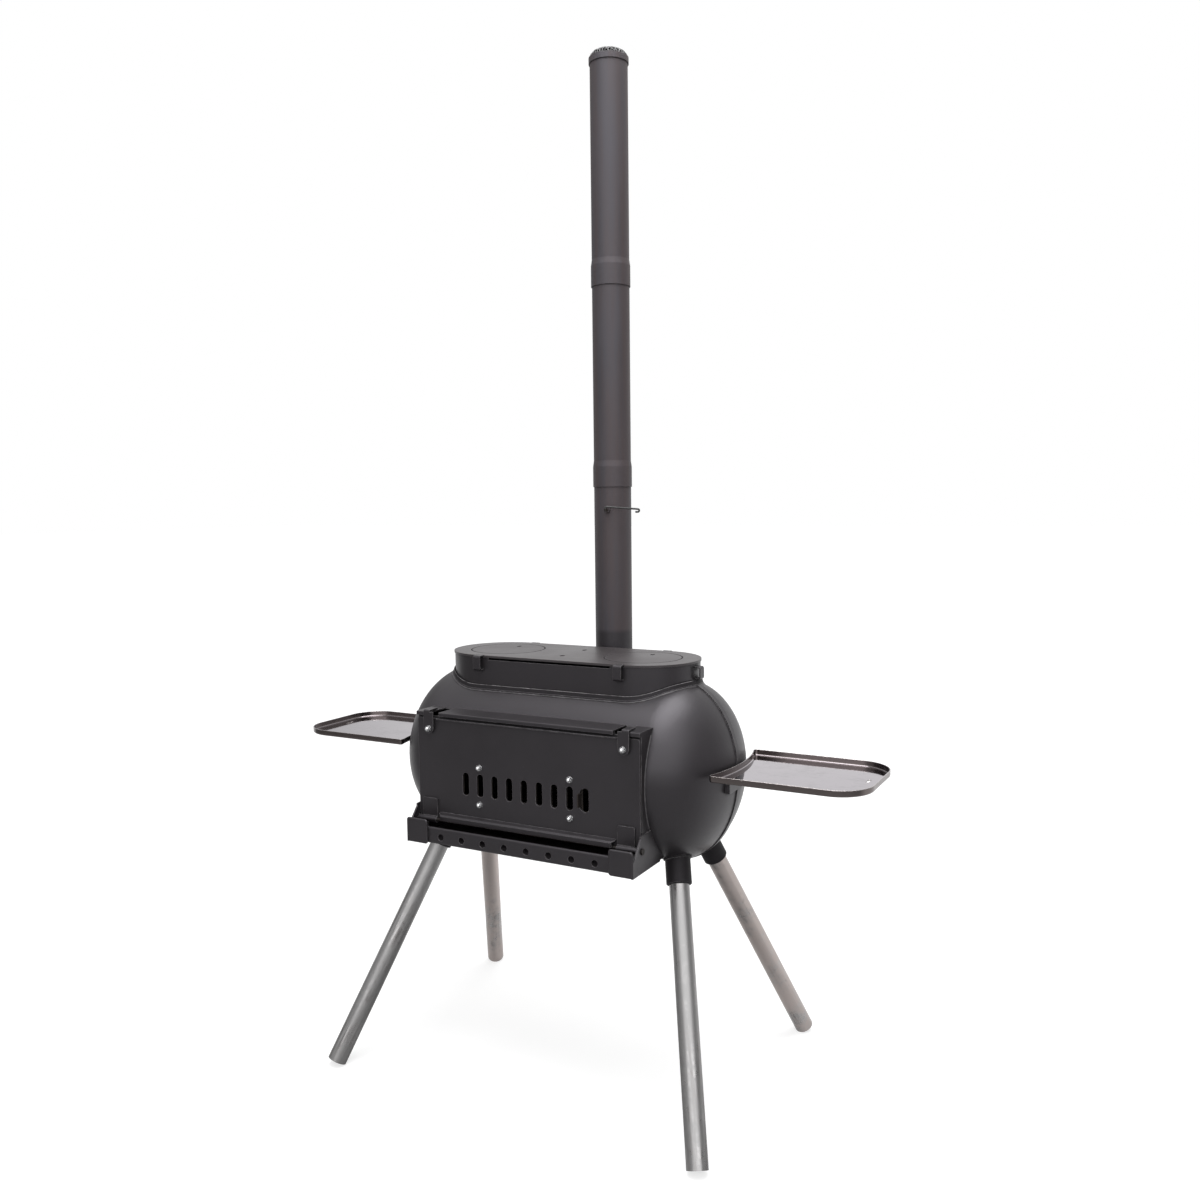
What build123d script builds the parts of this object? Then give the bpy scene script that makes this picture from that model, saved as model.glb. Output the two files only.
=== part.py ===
from build123d import *
from math import atan2, cos, hypot, radians, sin, tan
import os

# Portable wood stove: a lying barrel on four splayed legs, with a cooktop riser,
# a drop-down door with an air slide, two side trays and a three-piece chimney.
# Millimetres. +X is the right-hand side, -Y the door side, +Z up, origin on the
# ground under the middle of the barrel.

# Barrel
belly_z = 545
belly_radius = 154
belly_straight = 209
dome_depth = 107
shell_wall = 3
lap_front = 4
lap_rear = 9
lap_wall = 2

# Cooktop and its riser
cooktop_rise = 187
cooktop_y = 6
cooktop_half_length = 240
cooktop_radius = 93
cooktop_wall = 4
riser_inset = 1.5
riser_wall = 3
riser_sill = 6
riser_foot = 5
riser_foot_wall = 2.5
draught_length = 244
draught_height = 4

# Lift-off hotplates and the rings that they sit on
hotplate_end_inset = 101
hotplate_radius = 68
hotplate_gap = 0.9
seat_inner_radius = 62
seat_outer_radius = 76
seat_wall = 3
lifter_length = 12
lifter_width = 8
lifter_reach = 37
plate_slot_reach = 40

# Clips round the riser
clip_end_inset = 100
clip_width = 15
clip_wall = 2.5
clip_reach = 11
clip_height = 27
clip_bend = 4
end_clip_height = 22
end_clip_drop = 9
clip_notch_gap = 1.5
clip_notch_depth = 4.5

# Door, its hinge line and the mouth around it
door_side_gap = 1
door_height = 177
door_top_drop = 11
door_wall = 3
door_corner = 4
door_gap = 0.5
hinge_y = -170
hinge_drop = 1.5
hinge_set = 3
hinge_rod_radius = 3
rod_head_radius = 5
rod_head_wall = 2.5
knuckle_radius = 5.5
knuckle_end_gap = 1.5
strap_length = 31
strap_side_gap = 10
strap_height = 37
strap_corner = 3
lip_end_gap = 4
lip_reach = 9.5
lip_top = 13
lip_slope = 2.5
lip_bottom = 0.5
lip_wall = 1.5
lip_chamfer = 4
top_lip_end_gap = 4.5
top_lip_reach = 3
top_lip_wall = 2

# Nine air slots and the slide behind them
slot_count = 9
slot_pitch = 29.4
slot_width = 13
slot_height = 40
slot_rise = 67.5
tab_slot_extra = 4
tab_wall = 2
tab_reach = 9
tab_height = 22
tab_gap = 0.2
slide_wall = 2
slide_gap = 0.3
slide_height = 46
slide_end_margin = 9
rail_overlap = 3
rail_wall = 2
rail_height = 16
rail_end_margin = 6
slide_bolt_x = 89
slide_bolt_rise = 31.5
slide_bolt_drop = 33

# Turn latches at the top of the door
latch_side_gap = 28
latch_pivot_drop = 17.5
latch_inner = 9.5
latch_outer = 10.5
latch_tail = 8.5
latch_wall = 2.5
latch_stand_off = 3.5
latch_hood_gap = 1.5
latch_tab_inner = 2
latch_tab_depth = 25
latch_bend = 3
latch_swing = 30
latch_notch_gap = 0.8
latch_swing_gap = 1.5

# Hood, side walls and seat of the mouth
mouth_half_width = 218
mouth_wall = 3
mouth_rise = 95
hood_wall = 2.5
hood_reach = 3
hood_lip_drop = 6.5
hood_bend = 2
seat_flange = 12
seat_flange_wall = 2.5
mouth_root_y = -77
mouth_cut_y = -62
notch_sill = 5

# Ash trough and the cheeks at its ends
trough_drop = 127
trough_wall = 2.5
trough_reach = 28
trough_height = 24
trough_roll_radius = 3
trough_bend = 6
trough_hole_count = 8
trough_hole_pitch = 43.05
trough_hole_radius = 5.9
trough_hole_rise = 11.3
cheek_gap = 0.1
cheek_wall = 2.5
cheek_drop = 3
cheek_reach = 4.5
cheek_fold = 2.4
cheek_shoulder = 26
cheek_step_set = 3.5
cheek_step_rise = 56
cheek_step = 4
cheek_back_set = 29
cheek_back_rise = 61.5
cheek_heel_set = 66
cheek_heel_rise = 13
flap_width = 44
flap_height = 43
flap_corner = 5

# Threaded fittings
bolt_radius = 3
nut_across_flats = 10
nut_height = 5
nut_crown_radius = 4.5
nut_crown_height = 3.5
nut_crown_taper = 28
head_height = 4
hole_clearance = 0.25
running_clearance = 0.05
stack_gap = 0.1

# Legs and the sockets that they push into
leg_radius = 16.85
leg_wall = 2.6
leg_clearance = 0.2
socket_foot_x = 243.5
socket_foot_y = 78.5
socket_foot_drop = 173.5
leg_slope_x = 0.295
leg_slope_y = 0.483
socket_radius = 21.2
socket_cap = 5
socket_weld = 2.5
socket_lip = 1.5

# Flue and chimney
flue_radius = 35
flue_wall = 1.5
flue_y = 162
flue_angle = 30
flue_root = 120
flue_collar = 6
flue_collar_wall = 2.5
flue_top_rise = 152
pipe_clearance = 0.15
pipe_collar_length = 38
pipe_flare_length = 11
pipe_pitch = 370
pipe_count = 3

# Damper in the lowest pipe
damper_rise = 289
damper_turn = 11.2
damper_shaft_radius = 2.5
damper_shaft_reach = 51
damper_back_reach = 41
damper_flap_radius = 31.5
damper_flap_wall = 1.5
damper_hub_radius = 4
damper_hub_length = 38
bush_radius = 5.5
bush_length = 5
handle_radius = 1.75
handle_rise = 6
handle_length = 65
handle_fall = 5
handle_curl = 7
handle_curl_drop = 5
handle_bend = 2.4

# Spark cap
cap_clearance = 0.3
cap_wall = 1.5
cap_skirt = 9
cap_shelf = 2.5
cap_dome_rise = 17
cap_mesh_wall = 1.2
cap_mesh_pitch = 8.2
cap_mesh_hole = 6.2
cap_mesh_count = 6

# Side trays
tray_rise = 11
tray_wall = 1.5
tray_rim_height = 11
tray_half_width = 105
tray_length = 234
tray_gap = 5
tray_hollow = 17
tray_end_corner = 58
tray_inner_corner = 6
tray_bend = 4
tray_slot_inset = 24
tray_slot_y = 10
tray_slot_length = 18
tray_slot_width = 5
bracket_half_width = 45
bracket_reach = 54
bracket_wall = 3
bracket_drop = 32
bracket_corner = 10
tray_bolt_reach = 29
tray_bolt_y = 30

# Fire grate and its rails
grate_drop = 97
grate_wall = 4
grate_half_length = 185
grate_half_width = 92
grate_slot_count = 13
grate_slot_pitch = 26
grate_slot_width = 12
grate_slot_margin = 14
rail_ledge = 14
rail_leg = 10
rail_thickness = 3
rail_length = 340
grate_side_gap = 1

# Worked out from the sizes above
belly_half_length = belly_straight + dome_depth
cooktop_z = belly_z + cooktop_rise
plate_bottom_z = cooktop_z - cooktop_wall
hotplate_x = cooktop_half_length - hotplate_end_inset
clip_x = cooktop_half_length - clip_end_inset
mouth_top_z = belly_z + mouth_rise
trough_floor_z = belly_z - trough_drop
trough_top_z = trough_floor_z + trough_height
trough_front_y = hinge_y - trough_reach
door_half_width = mouth_half_width - door_side_gap
door_top_z = mouth_top_z - door_top_drop
door_bottom_z = door_top_z - door_height
hinge_z = door_bottom_z - hinge_drop
strap_outer_x = mouth_half_width - strap_side_gap
strap_inner_x = strap_outer_x - strap_length
slot_z = door_bottom_z + slot_rise
slide_bolt_high_z = slot_z + slide_bolt_rise
slide_bolt_low_z = slot_z - slide_bolt_drop
latch_x = mouth_half_width - latch_side_gap
latch_pivot_z = door_top_z - latch_pivot_drop
socket_foot_z = belly_z - socket_foot_drop
flue_top_z = belly_z + flue_top_rise
damper_z = flue_top_z + damper_rise
tray_floor_z = belly_z + tray_rise
grate_z = belly_z - grate_drop
door_front_y = hinge_y + hinge_set
door_back_y = door_front_y + door_wall
mouth_front_y = door_back_y + door_gap
hood_front_y = door_front_y - hood_reach
cheek_inner_x = mouth_half_width + cheek_gap
cheek_outer_x = cheek_inner_x + cheek_wall
riser_half_length = cooktop_half_length - riser_inset
riser_radius = cooktop_radius - riser_inset
latch_back_y = door_front_y - latch_stand_off
latch_front_y = latch_back_y - latch_wall
latch_tab_z = mouth_top_z + latch_hood_gap
slide_front_y = door_back_y + slide_gap
slide_back_y = slide_front_y + slide_wall
slide_travel = slot_width
last_slot_x = (slot_count - 1) / 2 * slot_pitch
collar_radius = flue_radius + pipe_clearance
pipe_length = pipe_pitch + pipe_collar_length
pipe_start_z = flue_top_z - pipe_collar_length
chimney_top_z = pipe_start_z + (pipe_count - 1) * pipe_pitch + pipe_length
leg_tilt = atan2(hypot(leg_slope_x, leg_slope_y), 1)

os.makedirs("parts", exist_ok=True)


def front_plane(y, x=0, z=0):
    """Upright plane that looks out of the door side, its local y pointing up."""
    return Plane(origin=(x, y, z), x_dir=(1, 0, 0), z_dir=(0, -1, 0))


def side_plane(x):
    """Upright plane across the barrel: local x is the stove's Y, local y its Z."""
    return Plane(origin=(x, 0, 0), x_dir=(0, 1, 0), z_dir=(1, 0, 0))


def belly_solid(grow, keep=Keep.BOTH):
    """Solid barrel, grown or shrunk all over, or only its front or rear half."""
    radius = belly_radius + grow
    depth = dome_depth + grow
    half_length = belly_straight + depth
    with BuildPart() as body:
        with BuildSketch(front_plane(0, z=belly_z)):
            with BuildLine():
                Line((-half_length, 0), (half_length, 0))
                EllipticalCenterArc((belly_straight, 0), depth, radius, start_angle=0, arc_size=90)
                Line((belly_straight, radius), (-belly_straight, radius))
                EllipticalCenterArc((-belly_straight, 0), depth, radius, start_angle=90, arc_size=90)
            make_face()
        revolve(axis=Axis((0, 0, belly_z), (1, 0, 0)))
        if keep is not Keep.BOTH:
            split(bisect_by=Plane.XZ, keep=keep)
    return body.part


def belly_outline(grow):
    """Outline of the barrel seen from the door side, grown or shrunk all round."""
    radius = belly_radius + grow
    depth = dome_depth + grow
    with BuildSketch() as outline:
        with BuildLine():
            Line((-belly_straight, -radius), (belly_straight, -radius))
            EllipticalCenterArc((belly_straight, 0), depth, radius, start_angle=-90, arc_size=180)
            Line((belly_straight, radius), (-belly_straight, radius))
            EllipticalCenterArc((-belly_straight, 0), depth, radius, start_angle=90, arc_size=180)
        make_face()
    return outline.sketch


def stadium_prism(margin, bottom_z, top_z):
    """Upright prism on the cooktop's outline, grown or shrunk by a margin."""
    with BuildPart() as prism:
        with BuildSketch(Plane(origin=(0, cooktop_y, bottom_z))):
            SlotOverall(2 * (cooktop_half_length + margin), 2 * (cooktop_radius + margin))
        extrude(amount=top_z - bottom_z)
    return prism.part


belly_outer = belly_solid(0)
belly_inner = belly_solid(-shell_wall)
front_half = belly_solid(0, Keep.TOP)
rear_half = belly_solid(0, Keep.BOTTOM)
riser_mouth = stadium_prism(-riser_inset - riser_wall - riser_sill, belly_z, cooktop_z)

# Raised band along the seam, where the front half laps over the rear half
with BuildPart() as lap_band:
    for reach, sink in ((-lap_front, shell_wall / 2), (lap_rear, 0)):
        with BuildSketch(front_plane(0, z=belly_z)):
            add(belly_outline(lap_wall))
            add(belly_outline(-sink), mode=Mode.SUBTRACT)
        extrude(amount=-reach)

# Front half shell with its lap band, open to the riser and to the door's mouth
with BuildPart() as shell_front:
    add(front_half)
    add(belly_inner, mode=Mode.SUBTRACT)
    add(lap_band.part)
    add(riser_mouth, mode=Mode.SUBTRACT)
    with BuildSketch(front_plane(hood_front_y, z=(trough_floor_z + mouth_top_z - hood_wall) / 2)):
        Rectangle(2 * (mouth_half_width - mouth_wall), mouth_top_z - hood_wall - trough_floor_z)
    extrude(amount=hood_front_y - mouth_cut_y, mode=Mode.SUBTRACT)
shell_front.part.label = "shell_front"
export_step(shell_front.part, "parts/shell_front.step")

# Flue path: out of the barrel's rear at an angle, then straight up
flue_mitre_z = belly_z + flue_y * tan(radians(flue_angle))
flue_root_y = flue_root * cos(radians(flue_angle))
flue_root_z = belly_z + flue_root * sin(radians(flue_angle))
flue_branch_plane = Plane(
    origin=(0, flue_root_y, flue_root_z),
    x_dir=(1, 0, 0),
    z_dir=(0, cos(radians(flue_angle)), sin(radians(flue_angle))),
)

# Rear half shell, with the hole where the flue leaves
with BuildPart() as shell_rear:
    add(rear_half)
    add(belly_inner, mode=Mode.SUBTRACT)
    add(riser_mouth, mode=Mode.SUBTRACT)
    with BuildSketch(flue_branch_plane):
        Circle(flue_radius - flue_wall)
    extrude(amount=belly_radius, mode=Mode.SUBTRACT)
shell_rear.part.label = "shell_rear"
export_step(shell_rear.part, "parts/shell_rear.step")

# Riser: an oval wall scribed to the barrel, with a welded foot and a draught gap
with BuildPart() as riser_ring:
    add(stadium_prism(-riser_inset + riser_foot, belly_z, plate_bottom_z))
    add(belly_solid(riser_foot_wall), mode=Mode.INTERSECT)
    add(stadium_prism(-riser_inset, belly_z, plate_bottom_z))
    add(stadium_prism(-riser_inset - riser_wall, belly_z, cooktop_z), mode=Mode.SUBTRACT)
    with Locations((0, cooktop_y - riser_radius, plate_bottom_z)):
        Box(
            draught_length, 3 * riser_wall, draught_height,
            align=(Align.CENTER, Align.CENTER, Align.MAX), mode=Mode.SUBTRACT,
        )
    add(belly_outer, mode=Mode.SUBTRACT)
    add(lap_band.part, mode=Mode.SUBTRACT)
riser_ring.part.label = "riser_ring"
export_step(riser_ring.part, "parts/riser_ring.step")


def strap_clip(top_z, height):
    """Strap loop that stands off the riser, its top bent back over the wall."""
    with BuildPart() as clip:
        with BuildSketch(side_plane(0)):
            with BuildLine():
                FilletPolyline(
                    (0, top_z - height),
                    (-clip_reach, top_z - height),
                    (-clip_reach, top_z),
                    (riser_wall / 2, top_z),
                    radius=clip_bend,
                )
                offset(amount=clip_wall, side=Side.RIGHT)
            make_face()
        extrude(amount=clip_width / 2, both=True)
    return clip.part


# Clips round the riser: four that reach into notches of the plate, and a lower one at each end
side_clip = strap_clip(cooktop_z, clip_height)
end_clip = strap_clip(cooktop_z - end_clip_drop, end_clip_height)
side_clip_spots = [
    Location((clip_x, cooktop_y - riser_radius, 0), (0, 0, 0)),
    Location((-clip_x, cooktop_y - riser_radius, 0), (0, 0, 0)),
    Location((clip_x, cooktop_y + riser_radius, 0), (0, 0, 180)),
    Location((-clip_x, cooktop_y + riser_radius, 0), (0, 0, 180)),
]
end_clip_spots = [
    Location((riser_half_length, cooktop_y, 0), (0, 0, 90)),
    Location((-riser_half_length, cooktop_y, 0), (0, 0, -90)),
]
with BuildPart() as riser_clips:
    with Locations(*side_clip_spots):
        add(side_clip)
    with Locations(*end_clip_spots):
        add(end_clip)
    add(stadium_prism(-riser_inset, belly_z, plate_bottom_z), mode=Mode.SUBTRACT)
riser_clips.part.label = "riser_clips"
export_step(riser_clips.part, "parts/riser_clips.step")

# Cooktop plate: two round holes, two lifter slots and a notch for each clip
with BuildPart() as cooktop_plate:
    add(stadium_prism(0, plate_bottom_z, cooktop_z))
    with BuildSketch(Plane(origin=(0, cooktop_y, cooktop_z))):
        with Locations((hotplate_x, 0), (-hotplate_x, 0)):
            Circle(hotplate_radius + hotplate_gap)
        with Locations((0, plate_slot_reach), (0, -plate_slot_reach)):
            SlotOverall(lifter_length, lifter_width, rotation=90)
    extrude(amount=-cooktop_wall, mode=Mode.SUBTRACT)
    with Locations(*side_clip_spots):
        Box(
            clip_width + 2 * clip_notch_gap, 2 * (clip_notch_depth - riser_inset), 3 * cooktop_z,
            mode=Mode.SUBTRACT,
        )
cooktop_plate.part.label = "cooktop_plate"
export_step(cooktop_plate.part, "parts/cooktop_plate.step")

# Rings welded under the plate, one round each hole, that carry the hotplates
with BuildPart() as seat_rings:
    with BuildSketch(Plane(origin=(0, cooktop_y, plate_bottom_z))):
        with Locations((hotplate_x, 0), (-hotplate_x, 0)):
            Circle(seat_outer_radius)
            Circle(seat_inner_radius, mode=Mode.SUBTRACT)
    extrude(amount=-seat_wall)
seat_rings.part.label = "seat_rings"
export_step(seat_rings.part, "parts/seat_rings.step")

# Hotplates: round lids with a slot for the lifter
for side, side_name in ((1, "right"), (-1, "left")):
    with BuildPart() as hotplate:
        with BuildSketch(Plane(origin=(side * hotplate_x, cooktop_y, plate_bottom_z))):
            Circle(hotplate_radius)
            with Locations((0, lifter_reach)):
                SlotOverall(lifter_length, lifter_width, rotation=90, mode=Mode.SUBTRACT)
        extrude(amount=cooktop_wall)
    hotplate.part.label = f"hotplate_{side_name}"
    export_step(hotplate.part, f"parts/hotplate_{side_name}.step")

# Mouth of the firebox: hood, side walls and the flange that the door closes against
latch_tip_rise = latch_tab_z + latch_wall - latch_pivot_z
latch_tip_swing = latch_tab_inner * cos(radians(latch_swing)) + latch_tip_rise * sin(radians(latch_swing))
notch_inner_x = latch_x - latch_tip_swing - latch_swing_gap
notch_outer_x = latch_x - latch_tab_inner + latch_notch_gap
with BuildPart() as door_surround:
    with BuildSketch(side_plane(-mouth_half_width)):
        with BuildLine():
            Polyline(
                (mouth_front_y, trough_floor_z),
                (mouth_front_y, mouth_top_z - hood_lip_drop),
                (hood_front_y, mouth_top_z - hood_lip_drop),
                (hood_front_y, mouth_top_z),
                (mouth_root_y, mouth_top_z),
                (mouth_root_y, trough_floor_z),
                close=True,
            )
        make_face()
    extrude(amount=2 * mouth_half_width)
    hood_edge = edges().filter_by(Axis.X).sort_by(Axis.Z)[-2:].sort_by(Axis.Y)[0]
    fillet(hood_edge, radius=hood_bend)
    with BuildSketch(side_plane(-mouth_half_width + mouth_wall)):
        with BuildLine():
            Polyline(
                (mouth_front_y - door_wall, trough_floor_z),
                (mouth_front_y - door_wall, mouth_top_z - hood_wall),
                (mouth_root_y, mouth_top_z - hood_wall),
                (mouth_root_y, trough_floor_z),
                close=True,
            )
        make_face()
    extrude(amount=2 * (mouth_half_width - mouth_wall), mode=Mode.SUBTRACT)
    with BuildSketch(front_plane(mouth_front_y)):
        with Locations((0, (trough_floor_z + mouth_top_z) / 2)):
            Rectangle(2 * (mouth_half_width - mouth_wall / 2), mouth_top_z - trough_floor_z - hood_wall)
            with Locations((0, -seat_flange)):
                Rectangle(
                    2 * (mouth_half_width - mouth_wall - seat_flange),
                    mouth_top_z - trough_floor_z,
                    mode=Mode.SUBTRACT,
                )
    extrude(amount=-seat_flange_wall)
    with Locations(
        ((notch_inner_x + notch_outer_x) / 2, mouth_front_y, mouth_top_z),
        (-(notch_inner_x + notch_outer_x) / 2, mouth_front_y, mouth_top_z),
    ):
        Box(
            notch_outer_x - notch_inner_x, belly_radius, 2 * (hood_wall + notch_sill),
            mode=Mode.SUBTRACT,
        )
    add(belly_outer, mode=Mode.SUBTRACT)
door_surround.part.label = "door_surround"
export_step(door_surround.part, "parts/door_surround.step")

# Ash trough: one folded sheet with a rolled front edge and a row of air holes
with BuildPart() as ash_trough:
    with BuildSketch(side_plane(-mouth_half_width)):
        with BuildLine():
            FilletPolyline(
                (mouth_root_y, trough_floor_z),
                (trough_front_y + trough_wall, trough_floor_z),
                (trough_front_y + trough_wall, trough_top_z),
                radius=trough_bend - trough_wall,
            )
            offset(amount=trough_wall, side=Side.LEFT)
        make_face()
        with Locations((trough_front_y + trough_roll_radius, trough_top_z)):
            Circle(trough_roll_radius)
    extrude(amount=2 * mouth_half_width)
    with BuildSketch(front_plane(trough_front_y, z=trough_floor_z + trough_hole_rise)):
        with GridLocations(trough_hole_pitch, 0, trough_hole_count, 1):
            Circle(trough_hole_radius)
    extrude(amount=-2 * trough_wall, mode=Mode.SUBTRACT)
    add(belly_outer, mode=Mode.SUBTRACT)
ash_trough.part.label = "ash_trough"
export_step(ash_trough.part, "parts/ash_trough.step")

# Right cheek: a side plate with a flap folded across the end of the trough
cheek_front_y = trough_front_y - cheek_reach
cheek_bottom_z = trough_floor_z - cheek_drop
cheek_step_y = hinge_y - cheek_step_set
cheek_step_z = cheek_bottom_z + cheek_step_rise
cheek_back_z = cheek_bottom_z + cheek_back_rise
cheek_heel_y = hinge_y + cheek_heel_set
cheek_heel_z = cheek_bottom_z + cheek_heel_rise
with BuildPart() as cheek_right:
    with BuildSketch(side_plane(cheek_inner_x)):
        with BuildLine():
            Polyline(
                (cheek_front_y, cheek_bottom_z),
                (cheek_front_y, cheek_bottom_z + cheek_shoulder),
                (trough_front_y, cheek_bottom_z + cheek_shoulder),
                (cheek_step_y, cheek_step_z),
                (cheek_step_y, cheek_step_z + cheek_step),
                (hinge_y + cheek_back_set, cheek_back_z),
                (mouth_root_y, cheek_back_z),
                (mouth_root_y, cheek_heel_z),
                (cheek_heel_y + cheek_heel_z - cheek_bottom_z, cheek_heel_z),
                (cheek_heel_y, cheek_bottom_z),
                close=True,
            )
        make_face()
    extrude(amount=cheek_wall)
    with BuildSketch(front_plane(cheek_front_y)):
        with Locations((cheek_outer_x - flap_width / 2, cheek_bottom_z + flap_height / 2)):
            RectangleRounded(flap_width, flap_height, flap_corner)
    extrude(amount=-cheek_wall)
    fold_edges = edges().filter_by(Axis.Z).group_by(Axis.Y)[0].sort_by(Axis.X)
    fillet(fold_edges[-1], radius=cheek_fold)
    with BuildSketch(side_plane(cheek_inner_x)):
        with Locations((hinge_y, hinge_z)):
            Circle(hinge_rod_radius + running_clearance)
    extrude(amount=cheek_wall, mode=Mode.SUBTRACT)
    add(belly_outer, mode=Mode.SUBTRACT)
cheek_right.part.label = "cheek_right"
export_step(cheek_right.part, "parts/cheek_right.step")

with BuildPart() as cheek_left:
    mirror(cheek_right.part, about=Plane.YZ)
cheek_left.part.label = "cheek_left"
export_step(cheek_left.part, "parts/cheek_left.step")

# Hinge rod through both cheeks, with a riveted head at each end
with BuildPart() as hinge_rod:
    with BuildSketch(Plane.YZ.offset(-cheek_outer_x)):
        with Locations((hinge_y, hinge_z)):
            Circle(hinge_rod_radius)
    extrude(amount=2 * cheek_outer_x)
    for head_plane in (Plane.YZ.offset(cheek_outer_x), Plane.YZ.offset(-cheek_outer_x - rod_head_wall)):
        with BuildSketch(head_plane):
            with Locations((hinge_y, hinge_z)):
                Circle(rod_head_radius)
        extrude(amount=rod_head_wall)
hinge_rod.part.label = "hinge_rod"
export_step(hinge_rod.part, "parts/hinge_rod.step")

# Door panel: a flat sheet with folded lips above and below and nine air slots
lip_half_length = strap_inner_x - lip_end_gap
top_lip_half_length = latch_x - latch_inner - top_lip_end_gap
with BuildPart() as door_panel:
    with BuildSketch(front_plane(door_front_y, z=(door_bottom_z + door_top_z) / 2)):
        RectangleRounded(2 * door_half_width, door_top_z - door_bottom_z, door_corner)
    extrude(amount=-door_wall)
    with BuildSketch(side_plane(-lip_half_length)):
        with BuildLine():
            Polyline(
                (door_front_y, hinge_z + lip_top),
                (door_front_y - lip_reach + lip_slope, hinge_z + lip_top - lip_slope),
                (door_front_y - lip_reach, hinge_z + lip_top - 2 * lip_slope),
                (door_front_y - lip_reach, hinge_z + lip_bottom),
                (door_front_y - lip_reach + lip_wall, hinge_z + lip_bottom),
                (door_front_y - lip_reach + lip_wall, hinge_z + lip_top - 2 * lip_slope - lip_wall / 2),
                (door_front_y - lip_reach + lip_slope + lip_wall / 2, hinge_z + lip_top - lip_slope - lip_wall),
                (door_front_y, hinge_z + lip_top - lip_wall),
                close=True,
            )
        make_face()
    extrude(amount=2 * lip_half_length)
    for lip_end_x in (-lip_half_length, lip_half_length):
        with Locations((lip_end_x, door_front_y - lip_reach, hinge_z)):
            Box(
                2 * lip_chamfer, 2 * lip_chamfer, 2 * lip_top,
                rotation=(0, 0, 45), mode=Mode.SUBTRACT,
            )
    with BuildSketch(side_plane(-top_lip_half_length)):
        with Locations((door_front_y - top_lip_reach / 2, door_top_z - top_lip_wall / 2)):
            Rectangle(top_lip_reach, top_lip_wall)
    extrude(amount=2 * top_lip_half_length)
    with BuildSketch(front_plane(door_front_y, z=slot_z)):
        with GridLocations(slot_pitch, 0, slot_count, 1):
            SlotOverall(slot_height, slot_width, rotation=90)
        with Locations((last_slot_x - tab_slot_extra, 0)):
            SlotOverall(slot_height - tab_slot_extra, slot_width, rotation=90)
    extrude(amount=-door_wall, mode=Mode.SUBTRACT)
    knuckle_room = hinge_z + knuckle_radius + door_gap - door_bottom_z
    for door_corner_x in (-door_half_width, door_half_width):
        with Locations((door_corner_x, door_front_y, door_bottom_z)):
            Box(
                2 * (door_half_width - strap_inner_x + door_gap), 3 * door_wall, 2 * knuckle_room,
                mode=Mode.SUBTRACT,
            )
    with BuildSketch(front_plane(door_front_y)):
        with Locations((latch_x, latch_pivot_z), (-latch_x, latch_pivot_z)):
            Circle(bolt_radius + hole_clearance)
        with Locations((0, (slide_bolt_high_z + slide_bolt_low_z) / 2)):
            with GridLocations(2 * slide_bolt_x, slide_bolt_high_z - slide_bolt_low_z, 2, 2):
                Circle(bolt_radius + hole_clearance)
    extrude(amount=-door_wall, mode=Mode.SUBTRACT)
door_panel.part.label = "door_panel"
export_step(door_panel.part, "parts/door_panel.step")

# Hinge straps: plates on the door, each with a knuckle that turns on the rod
strap_wall = hinge_set
with BuildPart() as hinge_strap_right:
    with BuildSketch(front_plane(door_front_y)):
        with Locations(((strap_inner_x + strap_outer_x) / 2, hinge_z + strap_height / 2)):
            RectangleRounded(strap_outer_x - strap_inner_x, strap_height, strap_corner)
    extrude(amount=strap_wall)
    with BuildSketch(side_plane(strap_inner_x)):
        with Locations((hinge_y, hinge_z)):
            Circle(knuckle_radius)
    extrude(amount=cheek_inner_x - knuckle_end_gap - strap_inner_x)
    with BuildSketch(side_plane(strap_inner_x)):
        with Locations((hinge_y, hinge_z)):
            Circle(hinge_rod_radius + running_clearance)
    extrude(amount=cheek_inner_x, mode=Mode.SUBTRACT)
hinge_strap_right.part.label = "hinge_strap_right"
export_step(hinge_strap_right.part, "parts/hinge_strap_right.step")

with BuildPart() as hinge_strap_left:
    mirror(hinge_strap_right.part, about=Plane.YZ)
hinge_strap_left.part.label = "hinge_strap_left"
export_step(hinge_strap_left.part, "parts/hinge_strap_left.step")


def cap_nut_bolt(grip, collar=0, head=True):
    """Bolt along +Z with a cap nut outside at z = 0 and a hex head past the grip."""
    with BuildPart() as bolt:
        with BuildSketch(Plane.XY):
            RegularPolygon(nut_across_flats / 2, 6, major_radius=False)
        extrude(amount=nut_height)
        with BuildSketch(Plane.XY.offset(nut_height)):
            Circle(nut_crown_radius)
        extrude(amount=nut_crown_height, taper=nut_crown_taper)
        with BuildSketch(Plane.XY):
            Circle(bolt_radius)
        extrude(amount=-grip)
        if head:
            with BuildSketch(Plane.XY.offset(-grip)):
                RegularPolygon(nut_across_flats / 2, 6, major_radius=False)
            extrude(amount=-head_height)
        if collar:
            with BuildSketch(Plane.XY.offset(-latch_wall - 2 * stack_gap)):
                Circle(nut_across_flats / 2)
            extrude(amount=-collar)
    return bolt.part


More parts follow.
